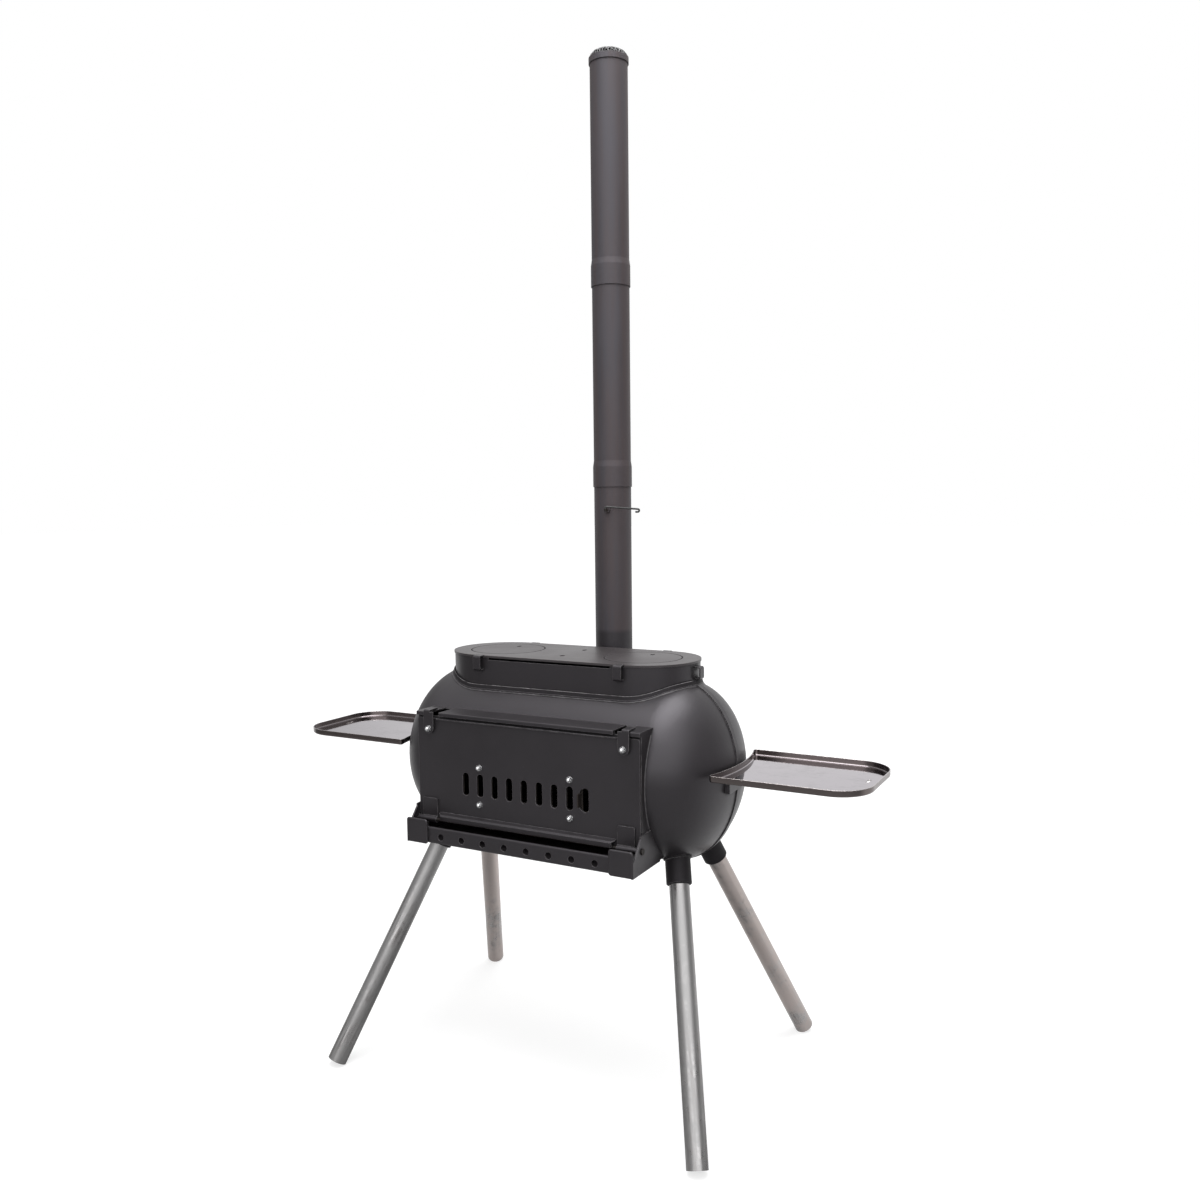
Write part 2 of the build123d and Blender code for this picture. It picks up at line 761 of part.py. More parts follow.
# Slide rails: two folded strips behind the door, one above and one below the slide
slide_half_height = slide_height / 2
rail_half_length = last_slot_x + slot_width / 2 + slide_end_margin + slide_travel + rail_end_margin
with BuildPart() as slide_rails:
    for direction, bolt_z in ((1, slide_bolt_high_z), (-1, slide_bolt_low_z)):
        near_z = slot_z + direction * (slide_half_height + slide_gap)
        lip_z = slot_z + direction * (slide_half_height - rail_overlap)
        far_z = near_z + direction * rail_height
        with BuildSketch(side_plane(-rail_half_length)):
            with BuildLine():
                Polyline(
                    (door_back_y, near_z),
                    (slide_back_y + slide_gap, near_z),
                    (slide_back_y + slide_gap, lip_z),
                    (slide_back_y + slide_gap + rail_wall, lip_z),
                    (slide_back_y + slide_gap + rail_wall, near_z + direction * rail_wall),
                    (door_back_y + rail_wall, near_z + direction * rail_wall),
                    (door_back_y + rail_wall, far_z),
                    (door_back_y, far_z),
                    close=True,
                )
            make_face()
        extrude(amount=2 * rail_half_length)
    with BuildSketch(front_plane(door_back_y)):
        with Locations((0, (slide_bolt_high_z + slide_bolt_low_z) / 2)):
            with GridLocations(2 * slide_bolt_x, slide_bolt_high_z - slide_bolt_low_z, 2, 2):
                Circle(bolt_radius + hole_clearance)
    extrude(amount=-rail_wall, mode=Mode.SUBTRACT)
slide_rails.part.label = "slide_rails"
export_step(slide_rails.part, "parts/slide_rails.step")

# Bolts that hold the rails, cap nuts on the outside of the door
slide_bolt = cap_nut_bolt(door_wall + rail_wall)
slide_bolt_mid_z = (slide_bolt_high_z + slide_bolt_low_z) / 2
with BuildPart(front_plane(door_front_y, z=slide_bolt_mid_z)) as slide_bolts:
    with GridLocations(2 * slide_bolt_x, slide_bolt_high_z - slide_bolt_low_z, 2, 2):
        add(slide_bolt)
slide_bolts.part.label = "slide_bolts"
export_step(slide_bolts.part, "parts/slide_bolts.step")

# Air slide: a slotted strip with a finger tab that stands in the widened slot
slide_half_length = last_slot_x + slot_width / 2 + slide_end_margin
tab_x = last_slot_x - slot_width / 2 - tab_slot_extra + tab_gap
with BuildPart() as air_slide:
    with BuildSketch(front_plane(slide_front_y, z=slot_z)):
        with Locations((-slide_travel / 2, 0)):
            Rectangle(2 * slide_half_length + slide_travel, slide_height)
        with GridLocations(slot_pitch, 0, slot_count, 1):
            Rectangle(slot_width, slot_height, mode=Mode.SUBTRACT)
    extrude(amount=-slide_wall)
    with BuildSketch(side_plane(tab_x)):
        with Locations((slide_back_y, slot_z)):
            Rectangle(
                2 * (slide_back_y - door_front_y + tab_reach), tab_height,
            )
        with Locations((slide_back_y, slot_z)):
            Rectangle(
                4 * tab_reach + 4 * door_wall, 2 * tab_height, align=(Align.MIN, Align.CENTER),
                mode=Mode.SUBTRACT,
            )
    extrude(amount=tab_wall)
air_slide.part.label = "air_slide"
export_step(air_slide.part, "parts/air_slide.step")

# Latch bolts: pivots for the latches, with a spacing collar on the door
latch_bolt_grip = latch_wall + 2 * stack_gap + latch_stand_off - stack_gap + door_wall
latch_bolt = cap_nut_bolt(latch_bolt_grip, collar=latch_stand_off - stack_gap)
with BuildPart(front_plane(latch_front_y - stack_gap, z=latch_pivot_z)) as latch_bolts:
    with GridLocations(2 * latch_x, 0, 2, 1):
        add(latch_bolt)
latch_bolts.part.label = "latch_bolts"
export_step(latch_bolts.part, "parts/latch_bolts.step")

# Right latch: a turning plate whose top is bent back over the hood
with BuildPart() as latch_right:
    with BuildSketch(front_plane(latch_back_y, x=latch_x, z=latch_pivot_z)):
        with BuildLine():
            Line((-latch_inner, 0), (-latch_inner, latch_tab_z - latch_pivot_z - latch_hood_gap))
            Line(
                (-latch_inner, latch_tab_z - latch_pivot_z - latch_hood_gap),
                (latch_outer, latch_tab_z - latch_pivot_z - latch_hood_gap),
            )
            Line((latch_outer, latch_tab_z - latch_pivot_z - latch_hood_gap), (latch_outer, 0))
            ThreePointArc((latch_outer, 0), (0, -latch_tail), (-latch_inner, 0))
        make_face()
    extrude(amount=latch_wall)
    with BuildSketch(side_plane(latch_x - latch_tab_inner)):
        with BuildLine():
            FilletPolyline(
                (latch_back_y, latch_pivot_z + bolt_radius * 2),
                (latch_back_y, latch_tab_z),
                (latch_front_y + latch_tab_depth, latch_tab_z),
                radius=latch_bend - latch_wall,
            )
            offset(amount=latch_wall, side=Side.LEFT)
        make_face()
    extrude(amount=latch_tab_inner + latch_outer)
    with BuildSketch(front_plane(latch_back_y, x=latch_x, z=latch_pivot_z)):
        Circle(bolt_radius + running_clearance)
    extrude(amount=latch_wall, mode=Mode.SUBTRACT)
latch_right.part.label = "latch_right"
export_step(latch_right.part, "parts/latch_right.step")

with BuildPart() as latch_left:
    mirror(latch_right.part, about=Plane.YZ)
latch_left.part.label = "latch_left"
export_step(latch_left.part, "parts/latch_left.step")

# Leg line: from the socket up along the leg's axis, for the front right leg
socket_foot = (socket_foot_x, socket_foot_y, socket_foot_z)
leg_unit = 1 / cos(leg_tilt)
foot_end_z = leg_radius * sin(leg_tilt)


def belly_gap_along_leg():
    """Length along the leg's axis from the socket's lower end to the barrel."""
    low, high = 0.0, belly_radius
    for _ in range(60):
        middle = (low + high) / 2
        x = socket_foot[0] - leg_slope_x * middle / leg_unit
        y = socket_foot[1] - leg_slope_y * middle / leg_unit
        z = socket_foot[2] + middle / leg_unit
        dome = max(0, x - belly_straight) / dome_depth
        inside = dome ** 2 + (y ** 2 + (z - belly_z) ** 2) / belly_radius ** 2 < 1
        low, high = (low, middle) if inside else (middle, high)
    return high


socket_length = belly_gap_along_leg()
seat_depth = socket_length - socket_cap


def leg_plane(side_x, side_y, distance=0):
    """Plane square to a leg, a distance along its axis above the socket's lower end."""
    rise = distance / leg_unit
    return Plane(
        origin=(
            side_x * (socket_foot[0] - leg_slope_x * rise),
            side_y * (socket_foot[1] - leg_slope_y * rise),
            socket_foot[2] + rise,
        ),
        x_dir=(side_y * leg_slope_y, -side_x * leg_slope_x, 0),
        z_dir=(-side_x * leg_slope_x, -side_y * leg_slope_y, 1),
    )


def socket_bead(socket_plane):
    """Weld bead on the barrel, over the whole end of a socket."""
    with BuildPart() as bead:
        add(belly_solid(socket_weld))
        with BuildSketch(socket_plane):
            Circle(socket_radius + socket_weld)
        extrude(amount=socket_length + socket_radius, mode=Mode.INTERSECT)
        add(belly_outer, mode=Mode.SUBTRACT)
    return bead.part


# Leg sockets and legs, one pair at each corner
corners = ((1, -1, "front_right"), (-1, -1, "front_left"), (1, 1, "rear_right"), (-1, 1, "rear_left"))
leg_length = (socket_foot_z - foot_end_z) * leg_unit + seat_depth
for side_x, side_y, corner in corners:
    socket_plane = leg_plane(side_x, side_y)
    with BuildPart() as leg_socket:
        with BuildSketch(socket_plane):
            Circle(socket_radius)
        extrude(amount=socket_length + socket_radius)
        add(belly_solid(socket_weld), mode=Mode.SUBTRACT)
        chamfer(faces().sort_by(Axis.Z)[0].edges(), length=socket_lip)
        add(socket_bead(socket_plane))
        with BuildSketch(socket_plane):
            Circle(leg_radius + leg_clearance)
        extrude(amount=seat_depth, mode=Mode.SUBTRACT)
        add(belly_outer, mode=Mode.SUBTRACT)
    leg_socket.part.label = f"leg_socket_{corner}"
    export_step(leg_socket.part, f"parts/leg_socket_{corner}.step")

    with BuildPart() as leg:
        with BuildSketch(leg_plane(side_x, side_y, seat_depth)):
            Circle(leg_radius)
            Circle(leg_radius - leg_wall, mode=Mode.SUBTRACT)
        extrude(amount=-leg_length)
    leg.part.label = f"leg_{corner}"
    export_step(leg.part, f"parts/leg_{corner}.step")

# Flue elbow: a mitred branch off the barrel that turns into an upright stub
with BuildPart() as flue_elbow:
    with BuildLine():
        Polyline((0, flue_root_y, flue_root_z), (0, flue_y, flue_mitre_z), (0, flue_y, flue_top_z))
    with BuildSketch(flue_branch_plane):
        Circle(flue_radius)
        Circle(flue_radius - flue_wall, mode=Mode.SUBTRACT)
    sweep(transition=Transition.RIGHT)
    add(belly_outer, mode=Mode.SUBTRACT)
flue_elbow.part.label = "flue_elbow"
export_step(flue_elbow.part, "parts/flue_elbow.step")

# Weld collar round the branch where it leaves the barrel
with BuildPart() as flue_flange:
    add(belly_solid(flue_collar_wall))
    with BuildSketch(flue_branch_plane):
        Circle(flue_radius + flue_collar)
    extrude(amount=belly_radius, mode=Mode.INTERSECT)
    with BuildSketch(flue_branch_plane):
        Circle(flue_radius)
    extrude(amount=belly_radius, mode=Mode.SUBTRACT)
    add(belly_outer, mode=Mode.SUBTRACT)
flue_flange.part.label = "flue_flange"
export_step(flue_flange.part, "parts/flue_flange.step")

# Damper shaft: level, turned a little from the door side toward the right
damper_direction = (sin(radians(damper_turn)), -cos(radians(damper_turn)), 0)
damper_side = (cos(radians(damper_turn)), sin(radians(damper_turn)), 0)


def damper_plane(distance):
    """Plane square to the damper shaft, a distance out from the pipe's middle."""
    return Plane(
        origin=(distance * damper_direction[0], flue_y + distance * damper_direction[1], damper_z),
        x_dir=damper_side,
        z_dir=damper_direction,
    )


# Chimney pipes: each has an expanded collar that slips over the one below
for number, pipe_name in enumerate(("chimney_lower", "chimney_middle", "chimney_upper")):
    foot_z = pipe_start_z + number * pipe_pitch
    collar_z = foot_z + pipe_collar_length
    flare_z = collar_z + pipe_flare_length
    with BuildPart() as pipe:
        with BuildSketch(front_plane(flue_y)):
            with BuildLine():
                Polyline(
                    (collar_radius, foot_z),
                    (collar_radius + flue_wall, foot_z),
                    (collar_radius + flue_wall, collar_z),
                    (flue_radius, flare_z),
                    (flue_radius, foot_z + pipe_length),
                    (flue_radius - flue_wall, foot_z + pipe_length),
                    (flue_radius - flue_wall, flare_z),
                    (collar_radius, collar_z),
                    close=True,
                )
            make_face()
        revolve(axis=Axis((0, flue_y, 0), (0, 0, 1)))
        if number == 0:
            with BuildSketch(damper_plane(-2 * flue_radius)):
                Circle(damper_shaft_radius + running_clearance)
            extrude(amount=4 * flue_radius, mode=Mode.SUBTRACT)
    pipe.part.label = pipe_name
    export_step(pipe.part, f"parts/{pipe_name}.step")

# Bush that carries the damper shaft on the front of the pipe
with BuildPart() as damper_bush:
    with BuildSketch(damper_plane(flue_radius - flue_wall)):
        Circle(bush_radius)
    extrude(amount=flue_wall + bush_length)
    with BuildSketch(damper_plane(0)):
        Circle(damper_shaft_radius + running_clearance)
    extrude(amount=2 * flue_radius, mode=Mode.SUBTRACT)
    with BuildSketch(Plane(origin=(0, flue_y, damper_z - bush_radius))):
        Circle(flue_radius)
    extrude(amount=2 * bush_radius, mode=Mode.SUBTRACT)
damper_bush.part.label = "damper_bush"
export_step(damper_bush.part, "parts/damper_bush.step")

# Damper shaft
with BuildPart() as damper_shaft:
    with BuildSketch(damper_plane(-damper_back_reach)):
        Circle(damper_shaft_radius)
    extrude(amount=damper_back_reach + damper_shaft_reach)
damper_shaft.part.label = "damper_shaft"
export_step(damper_shaft.part, "parts/damper_shaft.step")

# Damper flap: a round plate with a hub that is fixed on the shaft
with BuildPart() as damper_flap:
    with BuildSketch(Plane(origin=(0, flue_y, damper_z - damper_flap_wall / 2))):
        Circle(damper_flap_radius)
    extrude(amount=damper_flap_wall)
    with BuildSketch(damper_plane(-damper_hub_length / 2)):
        Circle(damper_hub_radius)
    extrude(amount=damper_hub_length)
    with BuildSketch(damper_plane(-flue_radius)):
        Circle(damper_shaft_radius)
    extrude(amount=2 * flue_radius, mode=Mode.SUBTRACT)
damper_flap.part.label = "damper_flap"
export_step(damper_flap.part, "parts/damper_flap.step")

# Damper handle: a bent wire with its end curled back, held in the end of the shaft
handle_plane = damper_plane(damper_shaft_reach - handle_radius)
with BuildPart() as damper_handle:
    with BuildLine(handle_plane) as handle_line:
        FilletPolyline(
            (0, damper_shaft_radius),
            (0, handle_rise),
            (handle_length, handle_rise - handle_fall),
            (handle_length, handle_rise - handle_fall - handle_curl_drop),
            (handle_length - handle_curl, handle_rise - handle_fall - handle_curl_drop),
            radius=handle_bend,
        )
    with BuildSketch(Plane(origin=handle_line.line @ 0, z_dir=handle_line.line % 0)):
        Circle(handle_radius)
    sweep()
damper_handle.part.label = "damper_handle"
export_step(damper_handle.part, "parts/damper_handle.step")

# Spark cap: a slip-on band with a shelf that rests on the pipe's rim
cap_inner_radius = flue_radius + cap_clearance
cap_outer_radius = cap_inner_radius + cap_wall
with BuildPart() as cap_band:
    with BuildSketch(front_plane(flue_y)):
        with BuildLine():
            Polyline(
                (cap_inner_radius, chimney_top_z - cap_skirt),
                (cap_outer_radius, chimney_top_z - cap_skirt),
                (cap_outer_radius, chimney_top_z + cap_wall),
                (flue_radius - cap_shelf, chimney_top_z + cap_wall),
                (flue_radius - cap_shelf, chimney_top_z),
                (cap_inner_radius, chimney_top_z),
                close=True,
            )
        make_face()
    revolve(axis=Axis((0, flue_y, 0), (0, 0, 1)))
cap_band.part.label = "cap_band"
export_step(cap_band.part, "parts/cap_band.step")

# Mesh dome of the spark cap: a thin domed net over the band
cap_base_z = chimney_top_z + cap_wall
cap_dome_radius = (flue_radius ** 2 + cap_dome_rise ** 2) / (2 * cap_dome_rise)
with BuildPart() as cap_mesh:
    with BuildSketch(front_plane(flue_y, z=cap_base_z)):
        with Locations((0, cap_dome_rise - cap_dome_radius)):
            Circle(cap_dome_radius)
            Circle(cap_dome_radius - cap_mesh_wall, mode=Mode.SUBTRACT)
        Rectangle(flue_radius, cap_dome_rise, align=Align.MIN, mode=Mode.INTERSECT)
    revolve(axis=Axis((0, flue_y, 0), (0, 0, 1)))
    with BuildSketch(Plane(origin=(0, flue_y, cap_base_z))):
        with GridLocations(cap_mesh_pitch, cap_mesh_pitch, cap_mesh_count, cap_mesh_count):
            Rectangle(cap_mesh_hole, cap_mesh_hole)
    extrude(amount=2 * cap_dome_rise, mode=Mode.SUBTRACT)
cap_mesh.part.label = "cap_mesh"
export_step(cap_mesh.part, "parts/cap_mesh.step")

# Trays: pressed dishes with a hollowed end that follows the barrel's dome
tray_apex_x = belly_half_length + tray_gap
tray_corner_x = tray_apex_x - tray_hollow
tray_end_x = tray_apex_x + tray_length


def tray_outline(inset):
    """Outline of the right tray, drawn in by an inset."""
    with BuildSketch() as outline:
        with BuildLine():
            Polyline(
                (tray_corner_x, -tray_half_width),
                (tray_end_x, -tray_half_width),
                (tray_end_x, tray_half_width),
                (tray_corner_x, tray_half_width),
            )
            ThreePointArc((tray_corner_x, tray_half_width), (tray_apex_x, 0), (tray_corner_x, -tray_half_width))
        make_face()
        fillet(outline.vertices().sort_by(Axis.X)[-2:], radius=tray_end_corner)
        fillet(outline.vertices().sort_by(Axis.X)[:2], radius=tray_inner_corner)
        if inset:
            offset(amount=-inset)
    return outline.sketch


with BuildPart() as tray_inside:
    with BuildSketch(Plane.XY.offset(tray_floor_z + tray_wall)):
        add(tray_outline(tray_wall))
    extrude(amount=tray_rim_height)
    fillet(faces().sort_by(Axis.Z)[0].edges(), radius=tray_bend - tray_wall)
with BuildPart() as tray_right:
    with BuildSketch(Plane.XY.offset(tray_floor_z)):
        add(tray_outline(0))
    extrude(amount=tray_rim_height)
    fillet(faces().sort_by(Axis.Z)[0].edges(), radius=tray_bend)
    add(tray_inside.part, mode=Mode.SUBTRACT)
    with BuildSketch(Plane.XY.offset(tray_floor_z)):
        with Locations((tray_end_x - tray_slot_inset, tray_slot_y)):
            SlotOverall(tray_slot_length, tray_slot_width, rotation=90)
    extrude(amount=tray_wall, mode=Mode.SUBTRACT)
tray_right.part.label = "tray_right"
export_step(tray_right.part, "parts/tray_right.step")

with BuildPart() as tray_left:
    mirror(tray_right.part, about=Plane.YZ)
tray_left.part.label = "tray_left"
export_step(tray_left.part, "parts/tray_left.step")

# Tray brackets: angles welded to the domes, a ledge under each tray
tray_bolt_x = belly_half_length + tray_bolt_reach
with BuildPart() as tray_bracket_right:
    with BuildSketch(Plane.XY.offset(tray_floor_z)):
        with Locations((belly_straight, 0)):
            Rectangle(
                belly_half_length + bracket_reach - belly_straight, 2 * bracket_half_width,
                align=(Align.MIN, Align.CENTER),
            )
        fillet(vertices().sort_by(Axis.X)[-2:], radius=bracket_corner)
        with Locations((tray_bolt_x, tray_bolt_y), (tray_bolt_x, -tray_bolt_y)):
            Circle(bolt_radius + hole_clearance, mode=Mode.SUBTRACT)
    extrude(amount=-bracket_wall)
    with Locations((belly_straight, 0, tray_floor_z)):
        Box(
            belly_half_length + bracket_wall - belly_straight, 2 * bracket_half_width, bracket_drop,
            align=(Align.MIN, Align.CENTER, Align.MAX),
        )
    add(belly_outer, mode=Mode.SUBTRACT)
    add(lap_band.part, mode=Mode.SUBTRACT)
tray_bracket_right.part.label = "tray_bracket_right"
export_step(tray_bracket_right.part, "parts/tray_bracket_right.step")

with BuildPart() as tray_bracket_left:
    mirror(tray_bracket_right.part, about=Plane.YZ)
tray_bracket_left.part.label = "tray_bracket_left"
export_step(tray_bracket_left.part, "parts/tray_bracket_left.step")

# Tray bolts: studs welded under the trays, with cap nuts below the brackets
tray_bolt = cap_nut_bolt(bracket_wall, head=False)
tray_bolt_plane = Plane(origin=(0, 0, tray_floor_z - bracket_wall), x_dir=(1, 0, 0), z_dir=(0, 0, -1))
with BuildPart(tray_bolt_plane) as tray_bolts:
    with GridLocations(2 * tray_bolt_x, 2 * tray_bolt_y, 2, 2):
        add(tray_bolt)
tray_bolts.part.label = "tray_bolts"
export_step(tray_bolts.part, "parts/tray_bolts.step")

# Grate rails: two ledges scribed to the inside of the barrel, each with a side stop
with BuildPart() as grate_rails:
    for side in (1, -1):
        with BuildSketch(side_plane(-rail_length / 2)):
            with BuildLine():
                inner_y = side * (grate_half_width - rail_ledge)
                outer_y = side * (grate_half_width + grate_side_gap)
                far_y = side * (grate_half_width + grate_side_gap + rail_thickness)
                Polyline(
                    (inner_y, grate_z),
                    (outer_y, grate_z),
                    (outer_y, grate_z + rail_leg),
                    (far_y, grate_z + rail_leg),
                    (far_y, grate_z),
                    (side * belly_radius, grate_z),
                    (side * belly_radius, grate_z - rail_thickness),
                    (inner_y, grate_z - rail_thickness),
                    close=True,
                )
            make_face()
        extrude(amount=rail_length)
    add(belly_inner, mode=Mode.INTERSECT)
grate_rails.part.label = "grate_rails"
export_step(grate_rails.part, "parts/grate_rails.step")

# Fire grate: a slotted plate that rests on the rails
with BuildPart() as fire_grate:
    with BuildSketch(Plane.XY.offset(grate_z)):
        Rectangle(2 * grate_half_length, 2 * grate_half_width)
        with GridLocations(grate_slot_pitch, 0, grate_slot_count, 1):
            Rectangle(
                grate_slot_width, 2 * (grate_half_width - grate_slot_margin), mode=Mode.SUBTRACT,
            )
    extrude(amount=grate_wall)
fire_grate.part.label = "fire_grate"
export_step(fire_grate.part, "parts/fire_grate.step")
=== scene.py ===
import math

import bmesh
import bpy
from bpy.props import FloatProperty, FloatVectorProperty, IntProperty, PointerProperty
from mathutils import Matrix, Vector


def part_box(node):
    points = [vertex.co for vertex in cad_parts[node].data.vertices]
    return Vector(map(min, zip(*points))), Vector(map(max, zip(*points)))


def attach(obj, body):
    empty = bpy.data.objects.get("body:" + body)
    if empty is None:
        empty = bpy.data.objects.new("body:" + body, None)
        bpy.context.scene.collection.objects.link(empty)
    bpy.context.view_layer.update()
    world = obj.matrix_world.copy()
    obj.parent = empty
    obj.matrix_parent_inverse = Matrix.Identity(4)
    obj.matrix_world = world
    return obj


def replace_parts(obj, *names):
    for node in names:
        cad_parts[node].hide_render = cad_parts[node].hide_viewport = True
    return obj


bl_info = {
    "name": "Portable wood stove",
    "version": (1, 0, 0),
    "blender": (4, 5, 0),
    "location": "3D View > Sidebar > Stove",
    "description": "Dresses a portable barrel wood stove with its finishes, fasteners and studio",
    "category": "Object",
}

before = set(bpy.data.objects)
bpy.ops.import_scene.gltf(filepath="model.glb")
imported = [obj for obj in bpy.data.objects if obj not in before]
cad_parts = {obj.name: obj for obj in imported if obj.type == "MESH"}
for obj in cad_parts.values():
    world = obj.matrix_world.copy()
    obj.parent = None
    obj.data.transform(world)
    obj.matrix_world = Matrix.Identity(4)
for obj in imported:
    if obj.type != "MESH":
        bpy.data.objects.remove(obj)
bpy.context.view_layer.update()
CORNERS = ("front_right", "front_left", "rear_right", "rear_left")

# Factors that lighten the mottle and rubbed steel, and darken the front legs' clouds and the sockets, whose
# darker paint is partly painted shade
MOTTLE_LIFT = 1.22
BARE_LIFT = 3.2
LEG_CLOUD_SHADE = 0.72
SOCKET_SHADE = 0.6
# How far a paint's roughness strays to both sides, and how much the sockets shine
SATIN_STEPS = (-0.03, 0.05)
SOCKET_SHEEN = 0.25
# Scale of the rubbed specks on the cap's wires, the damper handle and the weld beads
WIRE_SPECKLE = 170.0
HANDLE_SPECKLE = 120.0
BEAD_SPECKLE = 90.0
# Heights between which the painted shade on the chimney's foot, under the cooktop's edge, ends
FOOT_SHADE = (0.752, 0.764)
# Streaks and stains: how much finer their second pattern is, and how a stain's two patterns add up
LINE_FINENESS = 9.0
CLOUD_FINENESS = 7.0
CLOUD_SHARE = 0.35
CLOUD_LEVEL = 1.15
CHIP_REACH = 0.07
# Faces that meet at more than this angle keep a sharp edge
SHARP_ANGLE = math.radians(32)
# Smallest step between two rings of a turned solid
HAIR = 1e-5
# Cap nuts: parts of a nut's width, steps of its crown and the radius where the crown ends
NUT_SOFTNESS = 0.04
HEAD_CHAMFER = 0.92
NUT_FOOT = 1.02
NUT_SHOULDER = 0.99
CROWN_STEPS = 8
CROWN_TIP = 0.0002
# Door sheet that the latch collars stand on
DOOR_WALL = 0.003
# Power that gives the spark cap's dome its full shoulders
CAP_SHOULDER = 2.4
# Angles round the barrel between which the mouth's beads run
MOUTH_BEAD_ANGLES = (math.radians(33), math.radians(-46))
# Swell of the weld ripples, and how far their two waves turn from point to point
RIPPLE = 0.16
RIPPLE_TURNS = (1.9, 0.37)
FILLET_STEPS = 240
# Space between the fillet's crest and the riser's wall
FILLET_GAP = 0.0024
FLOOR_HALF = 40.0
# Turn of the dark flags, and where the soft edges of what bright metal mirrors start and end
FLAG_TURN = math.radians(15)
FLAG_EDGE = (0.72, 0.92)
ROOM_EDGE = (-0.3, 0.3)
PAPER_EDGE = (-0.2, 0.6)
# Distances between which the floor's white turns into the backdrop's
BACKDROP_REACH = (0.9, 2.6)
# Where each lamp hangs and the point that it faces
KEY_REACH = ((1.2, -2.4, 2.4), (0.1, 0.0, 0.8))
TOP_REACH = ((0.35, -0.15, 3.2), (0.2, -0.1, 0.5))
SENSOR_WIDTH = 36.0
CLIP_REACH = (0.05, 200.0)


# Settings

def colour(name, description, value):
    return FloatVectorProperty(
        name=name, description=description, subtype="COLOR", size=3, min=0, max=1, default=value,
    )


def length(name, description, value):
    return FloatProperty(name=name, description=description, unit="LENGTH", min=0, default=value)


def amount(name, description, value):
    return FloatProperty(name=name, description=description, min=0, default=value)


def bearing(name, description, degrees):
    return FloatProperty(name=name, description=description, unit="ROTATION", default=math.radians(degrees))


def watts(name, description, value):
    return FloatProperty(name=name, description=description, unit="POWER", default=value)


class StoveFinishSettings(bpy.types.PropertyGroup):
    """Colours and surface sizes of the stove's finishes"""

    paint: colour("Heat paint", "Charcoal paint on the barrel, mouth and door", (0.0100, 0.0086, 0.0096))
    # Lighter colour on convex edges: partly rubbed paint, partly painted highlight
    paint_worn_and_lit: colour("Rubbed paint", "Paint where edges and bends are rubbed", (0.20, 0.19, 0.195))
    paint_chip: colour("Chipped paint", "Primer that shows in small chips", (0.30, 0.29, 0.28))
    # Near-black colour for painted shade in corners and gaps, on the line round each hotplate and in the
    # cap's inner layer
    soot_and_shade: colour("Soot", "Soot in corners and gaps", (0.0035, 0.0032, 0.0032))
    chimney_cool: colour("Chimney paint", "Paint on the chimney", (0.0290, 0.0275, 0.0320))
    chimney_warm: colour("Heat-tinted paint", "Warmer streaks up the chimney", (0.038, 0.028, 0.028))
    # Weld bead colours, lighter than the heat paint: a painted highlight along the beads, with lighter specks
    # where the paint is thin
    bead: colour("Weld beads", "Paint on the weld beads, thin on their crowns", (0.034, 0.031, 0.034))
    bead_worn_and_lit: colour("Worn weld beads", "Weld beads where the paint is thin", (0.075, 0.070, 0.074))
    # Cooktop colour lighter than the body paint: partly its own paint, partly painted light from above
    cooktop: colour("Cooktop", "Paint on the cooktop and its hotplates", (0.026, 0.0225, 0.023))
    # Lighter colour on the cooktop's edges: partly burnish, partly painted highlight
    cooktop_burnished_and_lit: colour("Burnished cooktop", "Cooktop paint polished by pans", (0.090, 0.083, 0.082))
    # Zinc streak colours: partly the tubes' drawn finish, partly a painted reflection along them
    zinc_dark: colour("Dull galvanising", "Dark streaks of the leg tubes", (0.185, 0.176, 0.174))
    zinc_light: colour("Bright galvanising", "Light streaks of the leg tubes", (0.365, 0.36, 0.36))
    zinc_brown: colour("Aged galvanising", "Clouds on the rear legs, browned by heat", (0.42, 0.372, 0.355))
    stainless: colour("Stainless sheet", "Side trays", (0.41, 0.38, 0.41))
    stainless_smear: colour("Smeared stainless", "Side trays where hands touch them", (0.36, 0.335, 0.358))
    # Painted shade and dark reflection: upright rims of the trays darker and browner than their floors
    stainless_rim_shade: colour("Tray rims", "Upright rims of the trays, browned by heat", (0.122, 0.105, 0.102))
    # Painted highlight along the edges of the tray sheet
    stainless_edge_highlight: colour("Tray edges", "Side trays along the edges of their sheet", (0.62, 0.57, 0.56))
    rim_roughness: amount("Rim roughness", "How much duller the tray rims are", 0.18)
    plated: colour("Bright zinc plate", "Cap nuts and bolts", (0.82, 0.82, 0.83))
    plated_dull: colour("Dulled zinc plate", "Cap nuts and bolts in their corners", (0.50, 0.50, 0.51))
    wire: colour("Black wire", "Damper handle", (0.006, 0.006, 0.0065))
    wire_worn: colour("Rubbed wire", "Wire where its coating is thin", (0.030, 0.030, 0.030))
    mesh_wire: colour("Mesh wire", "Spark cap's wires", (0.006, 0.006, 0.0065))
    mesh_wire_worn: colour("Bright mesh wire", "Spark cap's wires where rubbed", (0.24, 0.235, 0.245))
    scale_dark: colour("Mill scale", "Bare steel inside, dark from heat", (0.0075, 0.0070, 0.0070))
    scale_brown: colour("Warm mill scale", "Bare steel inside, brown from heat", (0.020, 0.0155, 0.0135))
    edge_radius: length("Edge radius", "Radius that light sees on sheet edges", 0.0011)
    paint_grain: length("Paint grain", "Size of the spray grain in the paint", 0.0011)
    paint_grain_depth: length("Paint grain depth", "Depth of the spray grain", 0.00006)
    crevice: length("Crevice reach", "How far soot and shade reach out of a corner", 0.009)
    # Painted shade: how far the darkening reaches out of a fastener's corners
    corner_shade: length("Grime reach", "How far grime reaches out of a fastener's corners", 0.003)
    # Painted shade: width of the dark line along the gap round each hotplate
    gap_shade_width: length("Soot line", "Width of the soot line round each hotplate", 0.0024)


